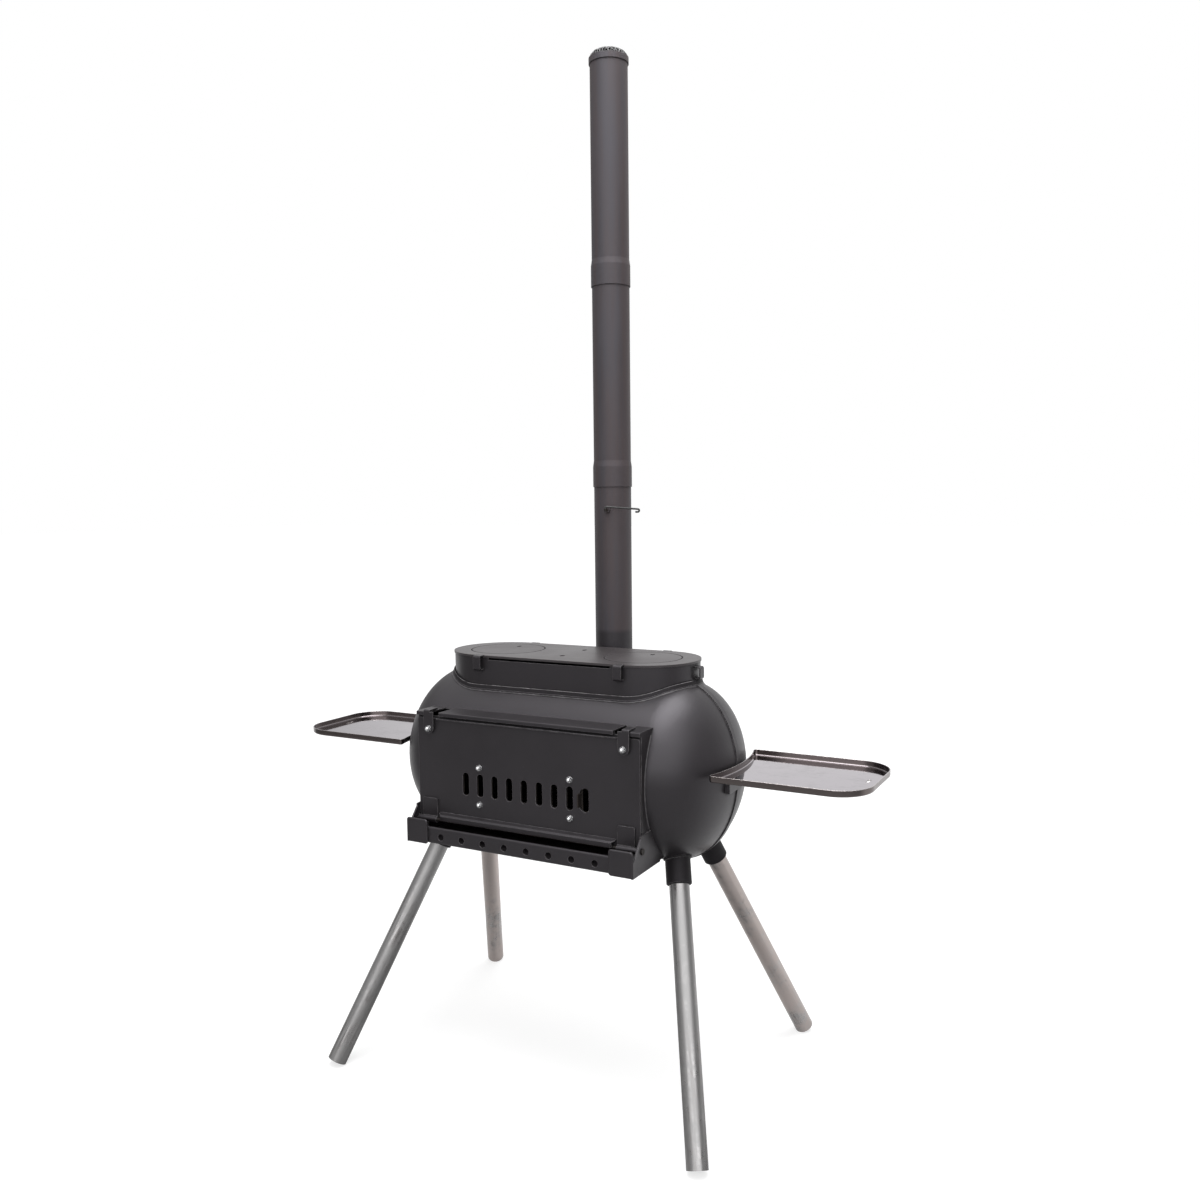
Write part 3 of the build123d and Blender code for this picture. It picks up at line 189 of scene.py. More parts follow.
class StoveFittingSettings(bpy.types.PropertyGroup):
    """Sizes of the fasteners and of the spark cap's wire"""

    nut_flats: length("Nut across flats", "Width of the cap nuts", 0.009)
    nut_height: length("Nut height", "Height of the hexagon", 0.0045)
    crown_radius: length("Crown radius", "Radius of the cap nut's dome", 0.0036)
    crown_height: length("Crown height", "Height of the cap nut's dome", 0.0040)
    washer_radius: length("Washer radius", "Outer radius of the washer", 0.0053)
    washer_wall: length("Washer thickness", "Thickness of the washer", 0.0007)
    bolt_radius: length("Bolt radius", "Radius of the bolt's shank", 0.003)
    head_height: length("Head height", "Height of the bolt's hexagon head", 0.004)
    collar_height: length("Collar height", "Spacing collar behind each latch", 0.0034)
    nut_sides: IntProperty(name="Nut segments", description="Segments round a nut", min=12, default=48)
    barrel_rise: length("Barrel rise", "Height of the barrel's axis", 0.545)
    barrel_radius: length("Barrel radius", "Radius of the barrel", 0.154)
    barrel_straight: length("Barrel straight", "Half of the barrel's straight part", 0.209)
    dome_depth: length("Dome depth", "Depth of the barrel's domed ends", 0.107)
    bead_radius: length("Bead radius", "Radius of the weld beads", 0.0015)
    riser_rim: length("Riser rim", "Width of the riser's rim on the barrel", 0.005)
    fillet_rise: length("Fillet rise", "Height of the fillet on the riser's wall", 0.0085)
    bead_step: length("Bead step", "Distance between the ripples of a weld", 0.003)
    wire_radius: length("Wire radius", "Radius of the spark cap's wires", 0.0009)
    wire_pitch: length("Wire pitch", "Distance between the spark cap's wires", 0.0050)
    wire_wave: length("Wire wave", "Height of the weave", 0.0006)
    lining_gap: length("Lining gap", "Space between the cap's two layers of mesh", 0.0028)


class StoveStudioSettings(bpy.types.PropertyGroup):
    """Camera, lamps and background"""

    floor: colour("Floor", "Floor and backdrop", (0.42, 0.42, 0.42))
    sky_level: amount("Sky level", "Light from all round", 0.34)
    flag_level: amount("Flag level", "What bright metal sees of the dark flags at both sides", 0.45)
    floor_lift: amount("Floor lift", "White that only the camera and bright metal see near the stove", 0.70)
    backdrop_lift: amount("Backdrop lift", "The same white, far behind the stove", 0.95)
    room_level: amount("Room level", "What bright metal sees of the room behind the camera", 0.72)
    key_power: watts("Key lamp", "Wide lamp over the camera", 118)
    top_power: watts("Top lamp", "Large lamp overhead", 106)
    camera_place: FloatVectorProperty(
        name="Camera place", description="Where the camera stands", unit="LENGTH", size=3,
        default=(0.961391, -1.664899, 0.99834),
    )
    camera_turn: bearing("Camera turn", "Angle round the stove", 28.482)
    camera_dip: bearing("Camera dip", "Angle below level", 5.094)
    camera_roll: bearing("Camera roll", "Lean of the camera", -0.608)
    lens: FloatProperty(name="Focal length", description="On a 36 mm sensor", unit="CAMERA", default=32.534)


# Shader groups

def new_group(name, inputs, outputs):
    """Shader node group with named sockets, what it is given and the node that puts it out."""
    tree = bpy.data.node_groups.new(name, "ShaderNodeTree")
    for label, value in inputs.items():
        kind = "NodeSocketVector" if isinstance(value, tuple) else "NodeSocketFloat"
        tree.interface.new_socket(name=label, in_out="INPUT", socket_type=kind).default_value = value
    for label in outputs:
        kind = "NodeSocketVector" if label == "Normal" else "NodeSocketFloat"
        tree.interface.new_socket(name=label, in_out="OUTPUT", socket_type=kind)
    return tree, tree.nodes.new("NodeGroupInput").outputs, tree.nodes.new("NodeGroupOutput")


def plug(tree, value, socket):
    """Links a socket to another one, or sets it to a constant."""
    if isinstance(value, bpy.types.NodeSocket):
        tree.links.new(value, socket)
    else:
        socket.default_value = value


def feed(tree, node, **values):
    """Plugs values into a node's sockets, named with an underscore for each space."""
    for name, value in values.items():
        plug(tree, value, node.inputs[name.replace("_", " ")])


def new_node(tree, kind, **values):
    """Shader node of a kind, with values plugged in."""
    node = tree.nodes.new("ShaderNode" + kind)
    feed(tree, node, **values)
    return node


def math_node(tree, operation, a, b=None, clamp=False):
    """Math node with its values or sockets plugged in."""
    node = new_node(tree, "Math")
    node.operation = operation
    node.use_clamp = clamp
    for index, value in enumerate((a, b)):
        if value is not None:
            plug(tree, value, node.inputs[index])
    return node.outputs[0]


def vector_node(tree, operation, a, b=None):
    """Vector math node: gives its vector, or the number that it measures."""
    node = new_node(tree, "VectorMath")
    node.operation = operation
    plug(tree, a, node.inputs[0])
    if b is not None:
        plug(tree, b, node.inputs["Scale" if operation == "SCALE" else 1])
    return node.outputs["Value" if operation in ("DOT_PRODUCT", "LENGTH") else "Vector"]


def axis_node(tree, vector, axis):
    """One coordinate of a vector."""
    return new_node(tree, "SeparateXYZ", Vector=vector).outputs[axis]


def noise_node(tree, vector, scale, detail=3.0, roughness=0.55):
    """Noise value, 0 to 1, at a scale that is a number or a socket."""
    node = new_node(tree, "TexNoise", Vector=vector, Scale=scale, Detail=detail, Roughness=roughness)
    return node.outputs[0]


def ramp_node(tree, value, low, high):
    """Value mapped so that low gives 0 and high gives 1, smooth between."""
    node = new_node(tree, "MapRange", Value=value, From_Min=low, From_Max=high)
    node.interpolation_type = "SMOOTHSTEP"
    return node.outputs["Result"]


def place_node(tree):
    """Position on the object, so that a pattern stays on it when it moves."""
    return new_node(tree, "TexCoord").outputs["Object"]


def grain_group():
    """Spray grain: a fine height for bumps and a broad mottle for colour."""
    tree, given, put = new_group(
        "Spray Grain", {"Grain Scale": 900.0, "Mottle Scale": 9.0}, ("Height", "Mottle"))
    place = place_node(tree)
    broad = noise_node(tree, place, given["Mottle Scale"], detail=4.0, roughness=0.6)
    feed(
        tree, put,
        Height=noise_node(tree, place, given["Grain Scale"], detail=2.0, roughness=0.6),
        Mottle=ramp_node(tree, broad, low=0.3, high=0.7),
    )
    return tree


def edge_group():
    """Rubbed edges: a normal rounded over corners and a mask of the convex ones, where the materials lighten
    the colour: partly wear, partly painted highlight.
    """
    tree, given, put = new_group("Rubbed Edge Highlight", {"Radius": 0.001, "Wear": 1.0}, ("Mask", "Normal"))
    bevel = new_node(tree, "Bevel", Radius=given["Radius"])
    bevel.samples = 6
    flat = new_node(tree, "NewGeometry")
    agree = vector_node(tree, "DOT_PRODUCT", bevel.outputs["Normal"], flat.outputs["Normal"])
    bent = math_node(tree, "SUBTRACT", 1.0, agree, clamp=True)
    exposed = ramp_node(tree, bent, low=0.01, high=0.16)
    patchy = noise_node(tree, place_node(tree), scale=60.0, detail=4.0, roughness=0.7)
    rubbed_and_lit = math_node(tree, "MULTIPLY", exposed, ramp_node(tree, patchy, low=0.25, high=0.65))
    mask = math_node(tree, "MULTIPLY", rubbed_and_lit, given["Wear"], clamp=True)
    feed(tree, put, Mask=mask, Normal=bevel.outputs["Normal"])
    return tree


def chip_group():
    """Paint chips: a few small specks where the coat has come off."""
    tree, given, put = new_group("Paint Chips", {"Scale": 26.0, "Share": 0.06}, ("Mask",))
    cells = new_node(
        tree, "TexVoronoi", Vector=place_node(tree), Scale=given["Scale"], Randomness=1.0)
    pick = new_node(tree, "SeparateColor", Color=cells.outputs["Color"])
    chosen = math_node(tree, "LESS_THAN", pick.outputs["Red"], given["Share"])
    ragged = noise_node(tree, place_node(tree), scale=700.0, detail=2.0)
    reach = math_node(tree, "MULTIPLY", ragged, CHIP_REACH)
    small = math_node(tree, "LESS_THAN", cells.outputs["Distance"], reach)
    feed(tree, put, Mask=math_node(tree, "MULTIPLY", chosen, small))
    return tree


def streak_group():
    """Streaks along an axis: long bands and fine lines that follow a tube or a brush."""
    sockets = {"Axis": (0.0, 0.0, 1.0), "Across Scale": 170.0, "Stretch": 0.03}
    tree, given, put = new_group("Drawn Streaks", sockets, ("Bands", "Lines"))
    place = place_node(tree)
    along = vector_node(tree, "PROJECT", place, given["Axis"])
    across = vector_node(tree, "SUBTRACT", place, along)
    drawn = vector_node(tree, "ADD", across, vector_node(tree, "SCALE", along, given["Stretch"]))
    bands = noise_node(tree, drawn, given["Across Scale"], detail=3.0, roughness=0.6)
    finer = math_node(tree, "MULTIPLY", given["Across Scale"], LINE_FINENESS)
    feed(
        tree, put,
        Bands=ramp_node(tree, bands, low=0.32, high=0.68),
        Lines=noise_node(tree, drawn, finer, detail=2.0, roughness=0.5),
    )
    return tree


def stain_group():
    """Stains: soft clouds broken up by smaller ones, for smears, heat marks and dull patches."""
    tree, given, put = new_group("Soft Stain", {"Scale": 14.0, "Cover": 0.5}, ("Mask",))
    place = place_node(tree)
    broad = noise_node(tree, place, given["Scale"], detail=5.0, roughness=0.65)
    finer = math_node(tree, "MULTIPLY", given["Scale"], CLOUD_FINENESS)
    small = noise_node(tree, place, finer, detail=3.0, roughness=0.6)
    both = math_node(tree, "MULTIPLY_ADD", small, CLOUD_SHARE)
    plug(tree, broad, both.node.inputs[2])
    over = math_node(tree, "SUBTRACT", both, math_node(tree, "SUBTRACT", CLOUD_LEVEL, given["Cover"]))
    feed(tree, put, Mask=ramp_node(tree, over, low=-0.12, high=0.16))
    return tree


def crevice_group():
    """Crevices: a mask of inner corners and gaps, where the materials paint shade because light is lost
    there.
    """
    tree, given, put = new_group("Crevice", {"Reach": 0.005}, ("Mask",))
    shade = new_node(tree, "AmbientOcclusion", Distance=given["Reach"])
    shade.samples = 4
    closed = math_node(tree, "SUBTRACT", 1.0, shade.outputs["AO"])
    feed(tree, put, Mask=ramp_node(tree, closed, low=0.12, high=0.60))
    return tree


def ring_group():
    """Ring: a mask of a thin circle, seen from above, with a clean middle."""
    sockets = {"Center": (0.0, 0.0, 0.0), "Radius": 0.07, "Width": 0.002}
    tree, given, put = new_group("Gap Shade Ring", sockets, ("Mask",))
    offset = vector_node(tree, "SUBTRACT", place_node(tree), given["Center"])
    reach = vector_node(tree, "LENGTH", vector_node(tree, "MULTIPLY", offset, (1.0, 1.0, 0.0)))
    away = math_node(tree, "ABSOLUTE", math_node(tree, "SUBTRACT", reach, given["Radius"]))
    near = math_node(tree, "SUBTRACT", 1.0, math_node(tree, "DIVIDE", away, given["Width"]))
    feed(tree, put, Mask=ramp_node(tree, near, low=0.0, high=0.6))
    return tree


GROUPS = {}


def placed_group(tree, maker, **values):
    """Outputs of a shared shader group placed in a material with its own values."""
    if maker not in GROUPS:
        GROUPS[maker] = maker()
    node = new_node(tree, "Group")
    node.node_tree = GROUPS[maker]
    feed(tree, node, **values)
    return node.outputs


# Materials

def new_material(name, **constants):
    """Material with a Principled shader and its constant values set, and its tree."""
    material = bpy.data.materials.new(name)
    material.use_nodes = True
    feed(material.node_tree, material.node_tree.nodes["Principled BSDF"], **constants)
    return material, material.node_tree


def mixed_colour(tree, mask, low, high):
    """Colour that runs from low to high with a mask; each is a colour or a socket."""
    node = new_node(tree, "Mix")
    node.data_type = "RGBA"
    feed(tree, node, Factor=mask)
    for socket, value in ((node.inputs[6], low), (node.inputs[7], high)):
        plug(tree, value if isinstance(value, bpy.types.NodeSocket) else (*value, 1.0), socket)
    return node.outputs[2]


def mixed_value(tree, mask, low, high):
    """Number that runs from low to high with a mask."""
    return new_node(tree, "MapRange", Value=mask, To_Min=low, To_Max=high).outputs["Result"]


def dressed(material, base, roughness, height, depth, normal=None):
    """Material with its colour, roughness and bump, whose depth is real, on a rounded normal or none."""
    tree = material.node_tree
    relief = new_node(tree, "Bump", Strength=1.0, Distance=depth, Height=height)
    if normal is not None:
        feed(tree, relief, Normal=normal)
    shader = tree.nodes["Principled BSDF"]
    feed(tree, shader, Base_Color=base, Roughness=roughness, Normal=relief.outputs["Normal"])
    return material


def duller(tree, roughness, mask):
    """Roughness that a mask takes to fully dull."""
    rest = math_node(tree, "MULTIPLY", math_node(tree, "SUBTRACT", 1.0, roughness), mask)
    return math_node(tree, "ADD", roughness, rest)


def paint_material(name, base, rubbed_and_lit, settings, roughness, chip_share=0.0):
    """Sprayed heat paint: grain, mottle, rubbed edges with a painted highlight, painted shade in corners and
    a few chips.
    """
    material, tree = new_material(name, Metallic=0.0, IOR=1.5, Specular_Tint=(0.97, 0.93, 1.0, 1.0))
    grain = placed_group(tree, grain_group, Grain_Scale=1.0 / settings.paint_grain, Mottle_Scale=7.0)
    edge = placed_group(tree, edge_group, Radius=settings.edge_radius, Wear=1.0)
    chips = placed_group(tree, chip_group, Scale=24.0, Share=chip_share)
    crevice = placed_group(tree, crevice_group, Reach=settings.crevice)["Mask"]
    lighter = tuple(min(1.0, value * MOTTLE_LIFT) for value in base)
    coat = mixed_colour(tree, grain["Mottle"], base, lighter)
    # Painted shade: inner corners and gaps are darkened towards near black
    shaded = mixed_colour(tree, crevice, coat, settings.soot_and_shade)
    # Edges lighter: partly rubbed paint, partly painted highlight
    worn_and_lit = mixed_colour(tree, edge["Mask"], shaded, rubbed_and_lit)
    satin = mixed_value(tree, grain["Mottle"], *(roughness + step for step in SATIN_STEPS))
    return dressed(
        material,
        base=mixed_colour(tree, chips["Mask"], worn_and_lit, settings.paint_chip),
        roughness=duller(tree, satin, crevice),
        height=grain["Height"], depth=settings.paint_grain_depth, normal=edge["Normal"],
    )


def painted(material):
    """A painted material's tree, its shader and the colour that feeds it so far."""
    tree = material.node_tree
    shader = tree.nodes["Principled BSDF"]
    return tree, shader, shader.inputs["Base Color"].links[0].from_socket


def gap_shade_ring(material, middle, radius, width, soot_and_shade):
    """Darkens a painted material on a circle: painted shade along the gap round a hotplate."""
    tree, shader, coat = painted(material)
    ring = placed_group(tree, ring_group, Center=middle, Radius=radius, Width=width)["Mask"]
    rough = shader.inputs["Roughness"].links[0].from_socket
    feed(tree, shader, Base_Color=mixed_colour(tree, ring, coat, soot_and_shade), Roughness=duller(tree, rough, ring))


def streaked(material, axis, scale, stretch, tint):
    """Streaks of another tint along a painted tube."""
    tree, shader, coat = painted(material)
    streaks = placed_group(tree, streak_group, Axis=axis, Across_Scale=scale, Stretch=stretch)
    feed(tree, shader, Base_Color=mixed_colour(tree, streaks["Bands"], coat, tint))


def shaded_foot(material, low, high, soot_and_shade):
    """Painted shade on a tube's foot: full below one height, none above another."""
    tree, shader, coat = painted(material)
    clean = ramp_node(tree, axis_node(tree, place_node(tree), "Z"), low, high)
    feed(tree, shader, Base_Color=mixed_colour(tree, clean, soot_and_shade, coat))


def galvanised_material(name, axis, cloud, settings):
    """Galvanised tube: streaks of dull and bright zinc along it, partly a painted reflection, with clouds of
    a colour.
    """
    material, tree = new_material(name, Metallic=1.0)
    streaks = placed_group(tree, streak_group, Axis=axis, Across_Scale=150.0, Stretch=0.025)
    stain = placed_group(tree, stain_group, Scale=12.0, Cover=0.55)["Mask"]
    zinc = mixed_colour(tree, streaks["Bands"], settings.zinc_dark, settings.zinc_light)
    return dressed(
        material,
        base=mixed_colour(tree, stain, zinc, cloud),
        roughness=mixed_value(tree, stain, low=0.22, high=0.42),
        height=streaks["Lines"], depth=0.00003,
    )


def sheet_material(name, settings):
    """Stainless sheet: bright, a little brushed, smeared by handling, with painted shade and dark reflection
    on upright rims.
    """
    material, tree = new_material(name, Metallic=1.0)
    streaks = placed_group(tree, streak_group, Axis=(0.0, 1.0, 0.0), Across_Scale=240.0, Stretch=0.01)
    stain = placed_group(tree, stain_group, Scale=18.0, Cover=0.42)["Mask"]
    edge = placed_group(tree, edge_group, Radius=settings.edge_radius, Wear=1.0)
    smeared = mixed_colour(tree, stain, settings.stainless, settings.stainless_smear)
    facing = new_node(tree, "TexCoord").outputs["Normal"]
    # Painted shade and dark reflection: faces that don't face up take the darker rim colour
    level = ramp_node(tree, axis_node(tree, facing, "Z"), low=0.55, high=0.95)
    sheet = mixed_colour(tree, level, settings.stainless_rim_shade, smeared)
    fine = mixed_value(tree, streaks["Bands"], low=0.05, high=0.08)
    sides = math_node(tree, "MULTIPLY", math_node(tree, "SUBTRACT", 1.0, level), settings.rim_roughness)
    return dressed(
        material,
        # Painted highlight along the sheet's edges
        base=mixed_colour(tree, edge["Mask"], sheet, settings.stainless_edge_highlight),
        roughness=math_node(tree, "ADD", fine, sides),
        height=streaks["Lines"], depth=0.000003, normal=edge["Normal"],
    )


def plated_material(name, settings):
    """Bright zinc plate on the fasteners, with painted shade in their corners."""
    material, tree = new_material(name, Metallic=1.0)
    grain = placed_group(tree, grain_group, Grain_Scale=2600.0, Mottle_Scale=260.0)
    # Painted shade: dark steel colour in the fasteners' corners
    corner_shade = placed_group(tree, crevice_group, Reach=settings.corner_shade)
    dull = mixed_colour(tree, grain["Mottle"], settings.plated, settings.plated_dull)
    return dressed(
        material,
        base=mixed_colour(tree, corner_shade["Mask"], dull, settings.scale_dark),
        roughness=mixed_value(tree, grain["Mottle"], low=0.16, high=0.30),
        height=grain["Height"], depth=0.000008,
    )


def wire_material(name, coated, bare, speckle):
    """Wire or weld whose coating is rubbed thin, in specks of a scale."""
    material, tree = new_material(name, Metallic=0.0, IOR=1.5)
    stain = placed_group(tree, stain_group, Scale=speckle, Cover=0.45)["Mask"]
    grain = placed_group(tree, grain_group, Grain_Scale=1800.0, Mottle_Scale=40.0)
    return dressed(
        material,
        base=mixed_colour(tree, stain, coated, bare),
        roughness=mixed_value(tree, stain, low=0.38, high=0.52),
        height=grain["Height"], depth=0.00002,
    )


def scale_material(name, settings):
    """Bare steel inside the stove, dark and brown from heat."""
    material, tree = new_material(name, Metallic=0.6)
    stain = placed_group(tree, stain_group, Scale=22.0, Cover=0.5)["Mask"]
    grain = placed_group(tree, grain_group, Grain_Scale=700.0, Mottle_Scale=30.0)
    edge = placed_group(tree, edge_group, Radius=settings.edge_radius, Wear=0.6)
    warm = mixed_colour(tree, stain, settings.scale_dark, settings.scale_brown)
    bright = tuple(BARE_LIFT * value for value in settings.scale_brown)
    return dressed(
        material,
        base=mixed_colour(tree, edge["Mask"], warm, bright),
        roughness=mixed_value(tree, stain, low=0.48, high=0.68),
        height=grain["Height"], depth=0.00008, normal=edge["Normal"],
    )


def finish_nodes(nodes, material):
    """Puts a material on CAD nodes, as their only one."""
    for name in nodes:
        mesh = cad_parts[name].data
        mesh.materials.clear()
        mesh.materials.append(material)


# Mesh helpers

def scene_object(name, data):
    """Object that is linked to the scene."""
    thing = bpy.data.objects.new(name, data)
    bpy.context.scene.collection.objects.link(thing)
    return thing


def new_piece(name, mesh, body, material):
    """Object of the stove that moves with a CAD body."""
    piece = scene_object(name, mesh)
    piece.data.materials.append(material)
    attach(piece, body)
    return piece


def solids_of(node):
    """Boxes of the separate solids of a CAD node, as (low corner, high corner) pairs."""
    source = bmesh.new()
    source.from_mesh(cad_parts[node].data)
    bmesh.ops.remove_doubles(source, verts=source.verts, dist=1e-5)
    boxes = []
    left = set(source.verts)
    while left:
        todo = [left.pop()]
        points = []
        while todo:
            vertex = todo.pop()
            points.append(vertex.co.copy())
            for edge in vertex.link_edges:
                other = edge.other_vert(vertex)
                if other in left:
                    left.remove(other)
                    todo.append(other)
        low = Vector(min(p[axis] for p in points) for axis in range(3))
        high = Vector(max(p[axis] for p in points) for axis in range(3))
        boxes.append((low, high))
    source.free()
    return sorted(boxes, key=lambda box: tuple(round(value, 4) for value in box[0]))


def ring_radius(kind, radius, angle):
    """Radius of a ring at an angle: a circle, or a hexagon given across its flats."""
    if kind == "round":
        return radius
    sixth = math.pi / 3
    return radius / math.cos((angle % sixth) - sixth / 2)


def turned_rings(target, rings, sides, transform):
    """Closed solid of stacked rings (height, kind, radius), each a circle or a hexagon."""
    loops = []
    for height, kind, radius in rings:
        loop = []
        for index in range(sides):
            angle = 2 * math.pi * index / sides
            reach = ring_radius(kind, radius, angle)
            point = Vector((reach * math.cos(angle), reach * math.sin(angle), height))
            loop.append(target.verts.new(transform @ point))
        loops.append(loop)
    for lower, upper in zip(loops, loops[1:]):
        for index in range(sides):
            after = (index + 1) % sides
            target.faces.new((lower[index], lower[after], upper[after], upper[index]))
    target.faces.new(tuple(reversed(loops[0])))
    target.faces.new(tuple(loops[-1]))


def cap_nut_rings(settings, grip, collar, head):
    """Ring heights and radii of a cap nut with its bolt, from the head to the crown."""
    flat = settings.nut_flats / 2
    soft = settings.nut_flats * NUT_SOFTNESS
    shank = settings.bolt_radius
    washer = settings.washer_wall
    rings = []
    if head:
        end = -grip - settings.head_height
        rings += [(end, "round", flat * HEAD_CHAMFER), (end + soft, "hex", flat), (-grip - HAIR, "hex", flat)]
    rings.append((-grip, "round", shank))
    if collar:
        top = -grip + DOOR_WALL + collar
        rings += [
            (top - collar, "round", shank), (top - collar + HAIR, "round", flat),
            (top - HAIR, "round", flat), (top, "round", shank),
        ]
    rings += [
        (-HAIR, "round", shank), (0.0, "round", settings.washer_radius - soft / 2),
        (soft / 3, "round", settings.washer_radius), (washer - soft / 3, "round", settings.washer_radius),
        (washer, "round", settings.washer_radius - soft / 2), (washer + HAIR, "round", flat * NUT_FOOT),
        (washer + soft, "hex", flat), (settings.nut_height - soft, "hex", flat),
        (settings.nut_height, "round", flat * NUT_SHOULDER),
        (settings.nut_height + HAIR, "round", settings.crown_radius),
    ]
    for step in range(1, CROWN_STEPS + 1):
        angle = math.pi / 2 * step / CROWN_STEPS
        rings.append((
            settings.nut_height + settings.crown_height * math.sin(angle),
            "round", max(settings.crown_radius * math.cos(angle), CROWN_TIP),
        ))
    return rings


def finished_mesh(name, target):
    """Mesh of a closed solid, shaded smooth but for its sharp edges."""
    bmesh.ops.recalc_face_normals(target, faces=target.faces)
    target.normal_update()
    for edge in target.edges:
        edge.smooth = len(edge.link_faces) == 2 and edge.calc_face_angle() < SHARP_ANGLE
    for face in target.faces:
        face.smooth = True
    mesh = bpy.data.meshes.new(name)
    target.to_mesh(mesh)
    target.free()
    return mesh


def wire_curve(name, radius, resolution):
    """Empty curve whose lines are drawn as round wires with closed ends."""
    curve = bpy.data.curves.new(name, "CURVE")
    curve.dimensions = "3D"
    curve.bevel_depth = radius
    curve.bevel_resolution = resolution
    curve.use_fill_caps = True
    return curve


def add_line(curve, spots, closed=False):
    """Adds a line through spots to a curve, and gives its points."""
    spline = curve.splines.new("POLY")
    spline.points.add(len(spots) - 1)
    spline.use_cyclic_u = closed
    for point, spot in zip(spline.points, spots):
        point.co = (*spot, 1.0)
    return spline.points


# Operators

class STOVE_OT_paint_body(bpy.types.Operator):
    """Spray the barrel, mouth, door, latches and sockets with charcoal heat paint"""

    bl_idname = "stove.paint_body"
    bl_label = "Paint the stove body"

    def execute(self, context):
        settings = context.scene.stove_finish
        paint = paint_material(
            "heat_paint", settings.paint, settings.paint_worn_and_lit, settings, roughness=0.41, chip_share=0.015)
        finish_nodes(
            [
                "shell_front", "shell_rear", "riser_ring", "riser_clips", "door_surround", "ash_trough",
                "cheek_left", "cheek_right", "door_panel", "hinge_strap_left", "hinge_strap_right",
                "latch_left", "latch_right", "tray_bracket_left", "tray_bracket_right",
                "flue_elbow", "flue_flange",
            ],
            paint,
        )
        # Darker, duller copy of the heat paint: partly the sockets' own finish, partly painted shade
        darker = tuple(SOCKET_SHADE * value for value in settings.paint)
        socket_paint = paint_material("socket_paint", darker, settings.paint_worn_and_lit, settings, roughness=0.62)
        shader = socket_paint.node_tree.nodes["Principled BSDF"]
        shader.inputs["Specular IOR Level"].default_value = SOCKET_SHEEN
        finish_nodes([f"leg_socket_{corner}" for corner in CORNERS], socket_paint)
        return {"FINISHED"}


class STOVE_OT_paint_chimney(bpy.types.Operator):
    """Paint the three chimney pipes, a little greyer and with more chips"""

    bl_idname = "stove.paint_chimney"
    bl_label = "Paint the chimney"

    def execute(self, context):
        settings = context.scene.stove_finish
        paint = paint_material(
            "chimney_paint", settings.chimney_cool, settings.paint_worn_and_lit, settings,
            roughness=0.52, chip_share=0.05)
        streaked(paint, axis=(0.0, 0.0, 1.0), scale=45.0, stretch=0.05, tint=settings.chimney_warm)
        # Painted shade on the chimney's foot, where the cooktop plate shades it
        shaded_foot(paint, *FOOT_SHADE, settings.paint)
        finish_nodes(["chimney_lower", "chimney_middle", "chimney_upper", "damper_bush", "cap_band"], paint)
        return {"FINISHED"}


class STOVE_OT_finish_cooktop(bpy.types.Operator):
    """Paint the cooktop and burnish it where pans slide, with lighter edges that are partly a painted
    highlight
    """

    bl_idname = "stove.finish_cooktop"
    bl_label = "Finish the cooktop"

    def execute(self, context):
        settings = context.scene.stove_finish
        coats = settings.cooktop, settings.cooktop_burnished_and_lit
        for side in ("left", "right"):
            low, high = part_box(f"hotplate_{side}")
            middle = (low + high) / 2
            radius = (high.x - low.x) / 2
            paint = paint_material(f"hotplate_paint_{side}", *coats, settings, roughness=0.42)
            # Painted shade along the gap between the hotplate and the plate
            gap_shade_ring(paint, middle, radius, settings.gap_shade_width, settings.soot_and_shade)
            finish_nodes([f"hotplate_{side}"], paint)
        paint = paint_material("cooktop_paint", *coats, settings, roughness=0.40)
        finish_nodes(["cooktop_plate"], paint)
        return {"FINISHED"}


class STOVE_OT_galvanise_legs(bpy.types.Operator):
    """Galvanise the four leg tubes, with streaks that follow each tube"""

    bl_idname = "stove.galvanise_legs"
    bl_label = "Galvanise the legs"

    def execute(self, context):
        settings = context.scene.stove_finish
        pale = tuple(LEG_CLOUD_SHADE * value for value in settings.zinc_light)
        for corner in CORNERS:
            low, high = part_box(f"leg_{corner}")
            run = high - low
            side_x = 1 if "right" in corner else -1
            side_y = -1 if "front" in corner else 1
            axis = Vector((-side_x * run.x, -side_y * run.y, run.z)).normalized()
            cloud = pale if "front" in corner else settings.zinc_brown
            tube = galvanised_material(f"galvanised_{corner}", axis, cloud, settings)
            finish_nodes([f"leg_{corner}"], tube)
        return {"FINISHED"}


class STOVE_OT_finish_trays(bpy.types.Operator):
    """Give the side trays their stainless sheet"""

    bl_idname = "stove.finish_trays"
    bl_label = "Finish the side trays"

    def execute(self, context):
        sheet = sheet_material("stainless_sheet", context.scene.stove_finish)
        finish_nodes(["tray_left", "tray_right"], sheet)
        return {"FINISHED"}


class STOVE_OT_finish_bare_steel(bpy.types.Operator):
    """Darken the grate, rails, slide, rings, rod and damper as heat does"""

    bl_idname = "stove.finish_bare_steel"
    bl_label = "Finish the bare steel"

    def execute(self, context):
        settings = context.scene.stove_finish
        finish_nodes(
            [
                "fire_grate", "grate_rails", "seat_rings", "slide_rails", "air_slide", "hinge_rod",
                "damper_shaft", "damper_flap",
            ],
            scale_material("heated_steel", settings),
        )
        wire = wire_material("handle_wire", settings.wire, settings.wire_worn, HANDLE_SPECKLE)
        finish_nodes(["damper_handle"], wire)
        return {"FINISHED"}


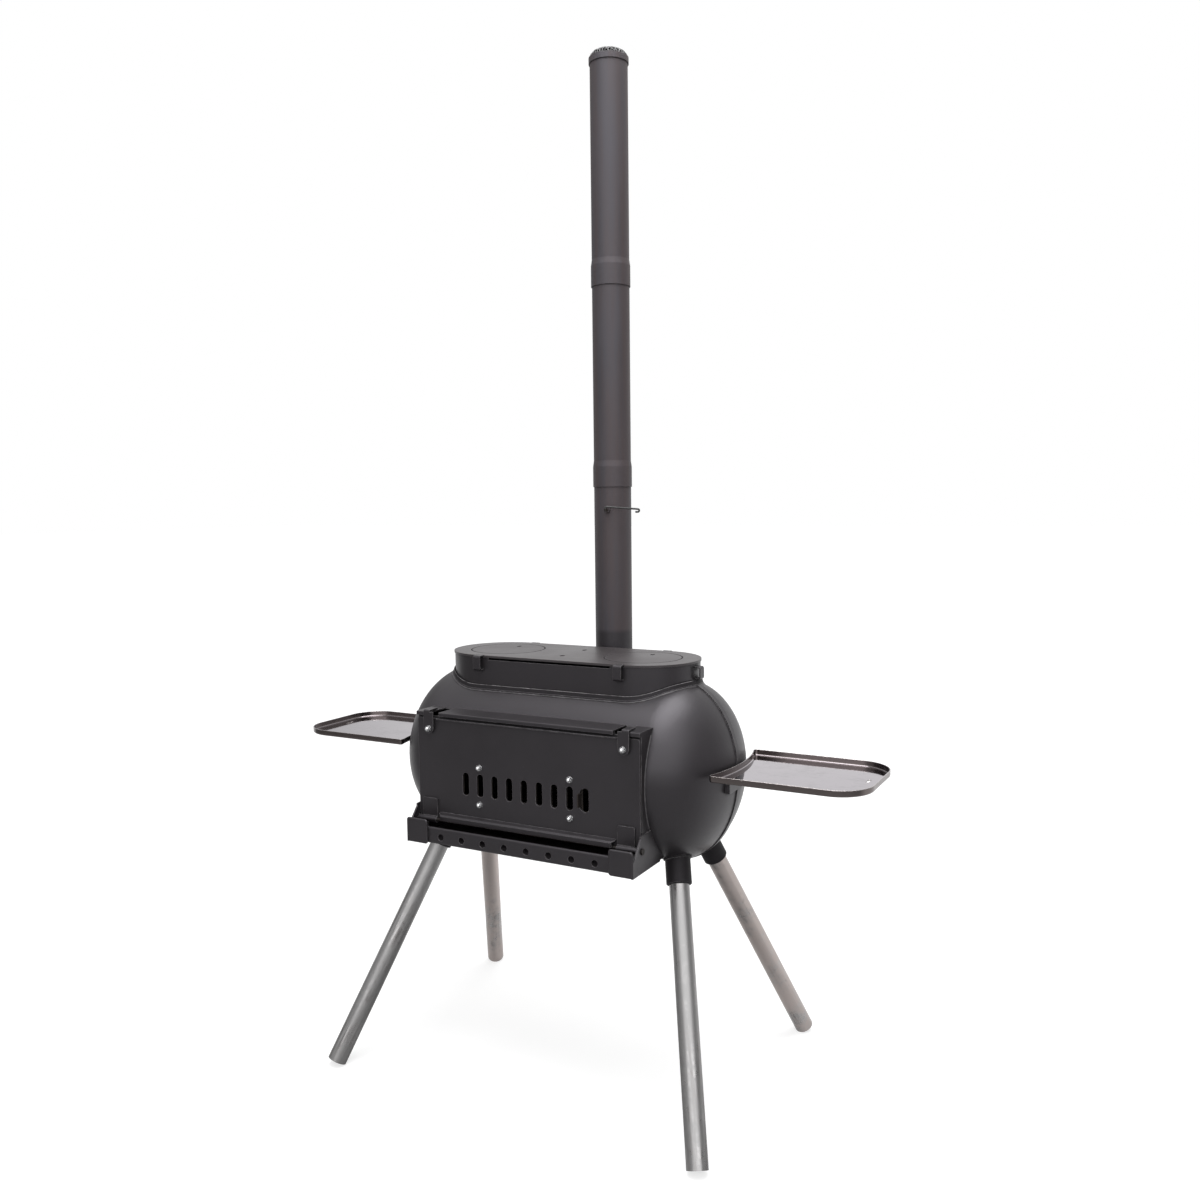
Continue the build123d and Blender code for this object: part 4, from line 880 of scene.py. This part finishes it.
class STOVE_OT_fit_cap_nuts(bpy.types.Operator):
    """Make the cap nuts and bolts of the slide rails, latches and trays"""

    bl_idname = "stove.fit_cap_nuts"
    bl_label = "Fit the cap nuts"

    def execute(self, context):
        settings = context.scene.stove_fittings
        plate = plated_material("bright_zinc", context.scene.stove_finish)
        out = Matrix.Rotation(math.pi / 2, 4, "X")
        down = Matrix.Rotation(math.pi, 4, "X")
        crown = settings.nut_height + settings.crown_height
        kinds = (
            ("slide_bolts", "door", "slide_cap_nuts", out, 1, 0.0, True),
            ("latch_bolts", "door", "latch_cap_nuts", out, 1, settings.collar_height, True),
            ("tray_bolts", "stove", "tray_cap_nuts", down, 2, 0.0, False),
        )
        for node, body, name, turn, axis, collar, head in kinds:
            target = bmesh.new()
            for low, high in solids_of(node):
                grip = high[axis] - low[axis] - crown - (settings.head_height if head else 0.0)
                seat = (low + high) / 2
                seat[axis] = low[axis] + crown
                rings = cap_nut_rings(settings, grip, collar, head)
                turned_rings(target, rings, settings.nut_sides, Matrix.Translation(seat) @ turn)
            piece = new_piece(name, finished_mesh(name, target), body, plate)
            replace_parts(piece, node)
        return {"FINISHED"}


def dome_height(offset, along, reach, rise):
    """Height of the spark cap's dome over a place on plan: full at the shoulders, flat on top."""
    share = min(math.hypot(offset, along) / reach, 1.0)
    return rise * math.sqrt(1 - share ** CAP_SHOULDER)


def woven_dome(name, settings, reach, rise, middle, turn):
    """Curve of two sets of wires that cross over and under each other on a dome."""
    curve = wire_curve(name, settings.wire_radius, resolution=1)
    count = int(reach / settings.wire_pitch)
    for across in (0, 1):
        for row in range(-count, count + 1):
            offset = row * settings.wire_pitch
            half = math.sqrt(reach ** 2 - offset ** 2)
            steps = max(3, 2 * int(half / settings.wire_pitch) + 3)
            points = []
            for step in range(-steps, steps + 1):
                along = half * math.sin(math.pi / 2 * step / steps)
                height = dome_height(offset, along, reach, rise)
                phase = math.pi * along / settings.wire_pitch + math.pi * (row + across)
                height = max(height + settings.wire_wave * math.cos(phase), 0.0) + settings.wire_radius
                spot = (along, offset, height) if across == 0 else (offset, along, height)
                points.append(middle + Matrix.Rotation(turn, 3, "Z") @ Vector(spot))
            add_line(curve, points)
    return curve


class STOVE_OT_weave_spark_cap(bpy.types.Operator):
    """Weave the spark cap's dome from two layers of crossing wires, the inner one near black as painted shade
    seen through the holes
    """

    bl_idname = "stove.weave_spark_cap"
    bl_label = "Weave the spark cap"

    def execute(self, context):
        settings = context.scene.stove_fittings
        finish = context.scene.stove_finish
        low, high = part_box("cap_mesh")
        middle = Vector(((low.x + high.x) / 2, (low.y + high.y) / 2, low.z))
        reach = (high.x - low.x) / 2 - settings.wire_radius
        rise = high.z - low.z - settings.wire_wave - 3 * settings.wire_radius
        wire = wire_material("cap_wire", finish.mesh_wire, finish.mesh_wire_worn, WIRE_SPECKLE)
        outer = woven_dome("spark_cap_wires", settings, reach, rise, middle, 0.0)
        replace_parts(new_piece("spark_cap_wires", outer, "spark_cap", wire), "cap_mesh")
        # Painted shade: the inner layer is near black so that the holes read dark
        lining_shade = wire_material("cap_lining_wire", finish.soot_and_shade, finish.scale_dark, WIRE_SPECKLE)
        gap = settings.lining_gap
        inner = woven_dome("spark_cap_lining", settings, reach - gap, rise - gap, middle, math.pi / 4)
        new_piece("spark_cap_lining", inner, "spark_cap", lining_shade)
        return {"FINISHED"}


def barrel_top(x, y, settings):
    """Height of the barrel's surface above the ground, over a place on plan."""
    along = max(abs(x) - settings.barrel_straight, 0.0) / settings.dome_depth
    around = settings.barrel_radius ** 2 * (1 - along ** 2) - y ** 2
    return settings.barrel_rise + math.sqrt(max(around, 0.0))


def riser_foot_path(settings, inset=0.0, lift=0.0, count=None):
    """Points round the riser's foot on the barrel: at an inset from its rim, lifted off the barrel."""
    low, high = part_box("riser_ring")
    radius = (high.y - low.y) / 2 + settings.bead_radius / 3 - inset
    straight = (high.x - low.x) / 2 + settings.bead_radius / 3 - inset - radius
    middle = (low.y + high.y) / 2
    quarter = math.pi * radius / 2
    around = 4 * (straight + quarter)
    count = count or int(around / settings.bead_step)
    points = []
    for index in range(count):
        along = around * index / count
        side, along = divmod(along, 2 * (straight + quarter))
        sign = 1 if side == 0 else -1
        if along < 2 * straight:
            x, y = sign * (along - straight), -sign * radius
        else:
            angle = (along - 2 * straight) / radius
            x, y = sign * (straight + radius * math.sin(angle)), -sign * radius * math.cos(angle)
        points.append(Vector((x, middle + y, barrel_top(x, middle + y, settings) + lift)))
    return points


def riser_fillet(settings):
    """Closed ring of three-sided section that fills the corner between the riser's wall and its rim."""
    count = FILLET_STEPS
    wall = settings.riser_rim + settings.bead_radius / 3 - FILLET_GAP
    rings = (
        riser_foot_path(settings, 0.0, settings.bead_radius / 2, count),
        riser_foot_path(settings, wall, settings.fillet_rise, count),
        riser_foot_path(settings, wall, -settings.bead_radius, count),
    )
    target = bmesh.new()
    loops = [[target.verts.new(point) for point in ring] for ring in rings]
    for side in range(3):
        here, there = loops[side], loops[(side + 1) % 3]
        for index in range(count):
            after = (index + 1) % count
            target.faces.new((here[index], here[after], there[after], there[index]))
    return finished_mesh("riser_fillet", target)


def mouth_side_path(side, settings):
    """Points where a side wall of the mouth meets the barrel, from the hood down."""
    low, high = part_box("door_surround")
    x = side * (high.x - low.x) / 2
    along = (abs(x) - settings.barrel_straight) / settings.dome_depth
    radius = settings.barrel_radius * math.sqrt(1 - along ** 2)
    start, end = MOUTH_BEAD_ANGLES
    count = int(radius * (start - end) / settings.bead_step)
    points = []
    for index in range(count + 1):
        angle = start + (end - start) * index / count
        points.append(Vector((x, -radius * math.cos(angle), settings.barrel_rise + radius * math.sin(angle))))
    return points


class STOVE_OT_lay_weld_beads(bpy.types.Operator):
    """Lay the fillet and the rippled bead round the riser's foot, and a bead down both sides of the mouth"""

    bl_idname = "stove.lay_weld_beads"
    bl_label = "Lay the weld beads"

    def execute(self, context):
        settings = context.scene.stove_fittings
        curve = wire_curve("weld_beads", settings.bead_radius, resolution=2)
        paths = (
            (riser_foot_path(settings), True),
            (mouth_side_path(1, settings), False),
            (mouth_side_path(-1, settings), False),
        )
        fast, slow = RIPPLE_TURNS
        for spots, closed in paths:
            for index, point in enumerate(add_line(curve, spots, closed)):
                point.radius = 1.0 + RIPPLE * math.sin(fast * index) + RIPPLE / 2 * math.sin(slow * index)
        finish = context.scene.stove_finish
        # Bead paint lighter than the heat paint: painted highlight along the beads
        bead_paint = wire_material("bead_paint", finish.bead, finish.bead_worn_and_lit, BEAD_SPECKLE)
        new_piece("weld_beads", curve, "stove", bead_paint)
        # The fillet takes the darker socket paint as painted shade, so that it reads as dark as the riser's
        # wall
        fillet = riser_fillet(settings)
        new_piece("riser_fillet", fillet, "stove", bpy.data.materials["socket_paint"])
        return {"FINISHED"}


def pale_material(name, tone, near_lift, far_lift):
    """Pale floor that takes shadows, with a white that only the camera and bright metal see."""
    material, tree = new_material(
        name, Base_Color=(*tone, 1.0), Roughness=0.9, Metallic=0.0, Specular_IOR_Level=0.0,
        Emission_Color=(1.0, 1.0, 1.0, 1.0))
    path = new_node(tree, "LightPath")
    paper = ramp_node(tree, axis_node(tree, place_node(tree), "Y"), *PAPER_EDGE)
    mirrored = math_node(tree, "MULTIPLY", path.outputs["Is Glossy Ray"], paper)
    seen = math_node(tree, "MAXIMUM", path.outputs["Is Camera Ray"], mirrored)
    seen = math_node(tree, "MAXIMUM", seen, path.outputs["Is Transmission Ray"])
    reach = vector_node(tree, "LENGTH", place_node(tree))
    lift = mixed_value(tree, ramp_node(tree, reach, *BACKDROP_REACH), near_lift, far_lift)
    strength = math_node(tree, "MULTIPLY", seen, lift)
    feed(tree, tree.nodes["Principled BSDF"], Emission_Strength=strength)
    return material


def area_lamp(name, place, aim, size, power):
    """Large soft lamp that faces a point."""
    lamp = bpy.data.lights.new(name, "AREA")
    lamp.shape = "RECTANGLE"
    lamp.size, lamp.size_y = size
    lamp.energy = power
    holder = scene_object(name, lamp)
    holder.location = place
    holder.rotation_euler = (Vector(aim) - Vector(place)).to_track_quat("-Z", "Y").to_euler()


def lay_floor(settings):
    """Wide floor of pale paper."""
    paper = pale_material("studio_floor", settings.floor, settings.floor_lift, settings.backdrop_lift)
    mesh = bpy.data.meshes.new("studio_floor")
    corners = [(x * FLOOR_HALF, y * FLOOR_HALF, 0) for x, y in ((-1, -1), (1, -1), (1, 1), (-1, 1))]
    mesh.from_pydata(corners, [], [(0, 1, 2, 3)])
    floor = scene_object("studio_floor", mesh)
    floor.data.materials.append(paper)


def hang_sky(scene, settings):
    """Sky, even for paint, with dark flags and a dimmer room for bright metal to mirror."""
    scene.world = bpy.data.worlds.new("studio_sky")
    scene.world.use_nodes = True
    tree = scene.world.node_tree
    path = new_node(tree, "LightPath")
    direction = new_node(tree, "SeparateXYZ", Vector=new_node(tree, "TexCoord").outputs["Generated"])
    sideways = math_node(tree, "ABSOLUTE", direction.outputs["X"])
    sideways = math_node(tree, "MULTIPLY", sideways, math.cos(FLAG_TURN))
    rearward = math_node(tree, "MULTIPLY", direction.outputs["Y"], math.sin(FLAG_TURN))
    flag = ramp_node(tree, math_node(tree, "ADD", sideways, rearward), *FLAG_EDGE)
    behind = math_node(tree, "ADD", direction.outputs["Y"], direction.outputs["Z"])
    room = mixed_value(tree, ramp_node(tree, behind, *ROOM_EDGE), settings.room_level, 1.0)
    mirrored = math_node(tree, "MULTIPLY", room, mixed_value(tree, flag, 1.0, settings.flag_level))
    glossy = mixed_value(tree, path.outputs["Is Glossy Ray"], settings.sky_level, 1.0)
    glossy = math_node(tree, "MULTIPLY", glossy, mirrored)
    clear = math_node(tree, "MAXIMUM", path.outputs["Is Camera Ray"], path.outputs["Is Transmission Ray"])
    strength = math_node(tree, "MAXIMUM", glossy, clear)
    feed(tree, tree.nodes["Background"], Color=(1.0, 1.0, 1.0, 1.0), Strength=strength)


def place_camera(scene, settings):
    """Camera that sees the stove as the photo does."""
    lens = bpy.data.cameras.new("photo_camera")
    lens.sensor_width = SENSOR_WIDTH
    lens.lens = settings.lens
    lens.clip_start, lens.clip_end = CLIP_REACH
    turn, dip, roll = settings.camera_turn, settings.camera_dip, settings.camera_roll
    ahead = Vector((-math.sin(turn) * math.cos(dip), math.cos(turn) * math.cos(dip), -math.sin(dip)))
    right = Vector((math.cos(turn), math.sin(turn), 0.0))
    up = right.cross(ahead)
    rolled_right = right * math.cos(roll) + up * math.sin(roll)
    rolled_up = up * math.cos(roll) - right * math.sin(roll)
    matrix = Matrix((rolled_right, rolled_up, -ahead)).transposed().to_4x4()
    matrix.translation = Vector(settings.camera_place)
    camera = scene_object("photo_camera", lens)
    camera.matrix_world = matrix
    scene.camera = camera


class STOVE_OT_set_studio(bpy.types.Operator):
    """Set the pale floor, the soft lamps, the sky and the camera"""

    bl_idname = "stove.set_studio"
    bl_label = "Set the studio"

    def execute(self, context):
        scene = context.scene
        settings = scene.stove_studio
        lay_floor(settings)
        hang_sky(scene, settings)
        area_lamp("key_lamp", *KEY_REACH, size=(6.0, 4.0), power=settings.key_power)
        area_lamp("top_lamp", *TOP_REACH, size=(2.8, 2.0), power=settings.top_power)
        place_camera(scene, settings)
        scene.view_settings.view_transform = "Standard"
        return {"FINISHED"}


class STOVE_PT_pieces(bpy.types.Panel):
    """Steps that dress the stove, in order"""

    bl_idname = "STOVE_PT_pieces"
    bl_label = "Wood stove"
    bl_space_type = "VIEW_3D"
    bl_region_type = "UI"
    bl_category = "Stove"

    def draw(self, context):
        for step in STEPS:
            self.layout.operator(step.bl_idname)


STEPS = (
    STOVE_OT_paint_body,
    STOVE_OT_paint_chimney,
    STOVE_OT_finish_cooktop,
    STOVE_OT_galvanise_legs,
    STOVE_OT_finish_trays,
    STOVE_OT_finish_bare_steel,
    STOVE_OT_fit_cap_nuts,
    STOVE_OT_weave_spark_cap,
    STOVE_OT_lay_weld_beads,
    STOVE_OT_set_studio,
)
SETTINGS = (
    ("stove_finish", StoveFinishSettings),
    ("stove_fittings", StoveFittingSettings),
    ("stove_studio", StoveStudioSettings),
)


def register():
    for name, group in SETTINGS:
        bpy.utils.register_class(group)
        setattr(bpy.types.Scene, name, PointerProperty(type=group))
    for step in (*STEPS, STOVE_PT_pieces):
        bpy.utils.register_class(step)


def unregister():
    for step in reversed((*STEPS, STOVE_PT_pieces)):
        bpy.utils.unregister_class(step)
    for name, group in reversed(SETTINGS):
        delattr(bpy.types.Scene, name)
        bpy.utils.unregister_class(group)


def main():
    register()
    for step in STEPS:
        group, name = step.bl_idname.split(".")
        if getattr(getattr(bpy.ops, group), name)() != {"FINISHED"}:
            raise RuntimeError(f"{step.bl_idname} didn't finish")


if __name__ == "__main__":
    main()
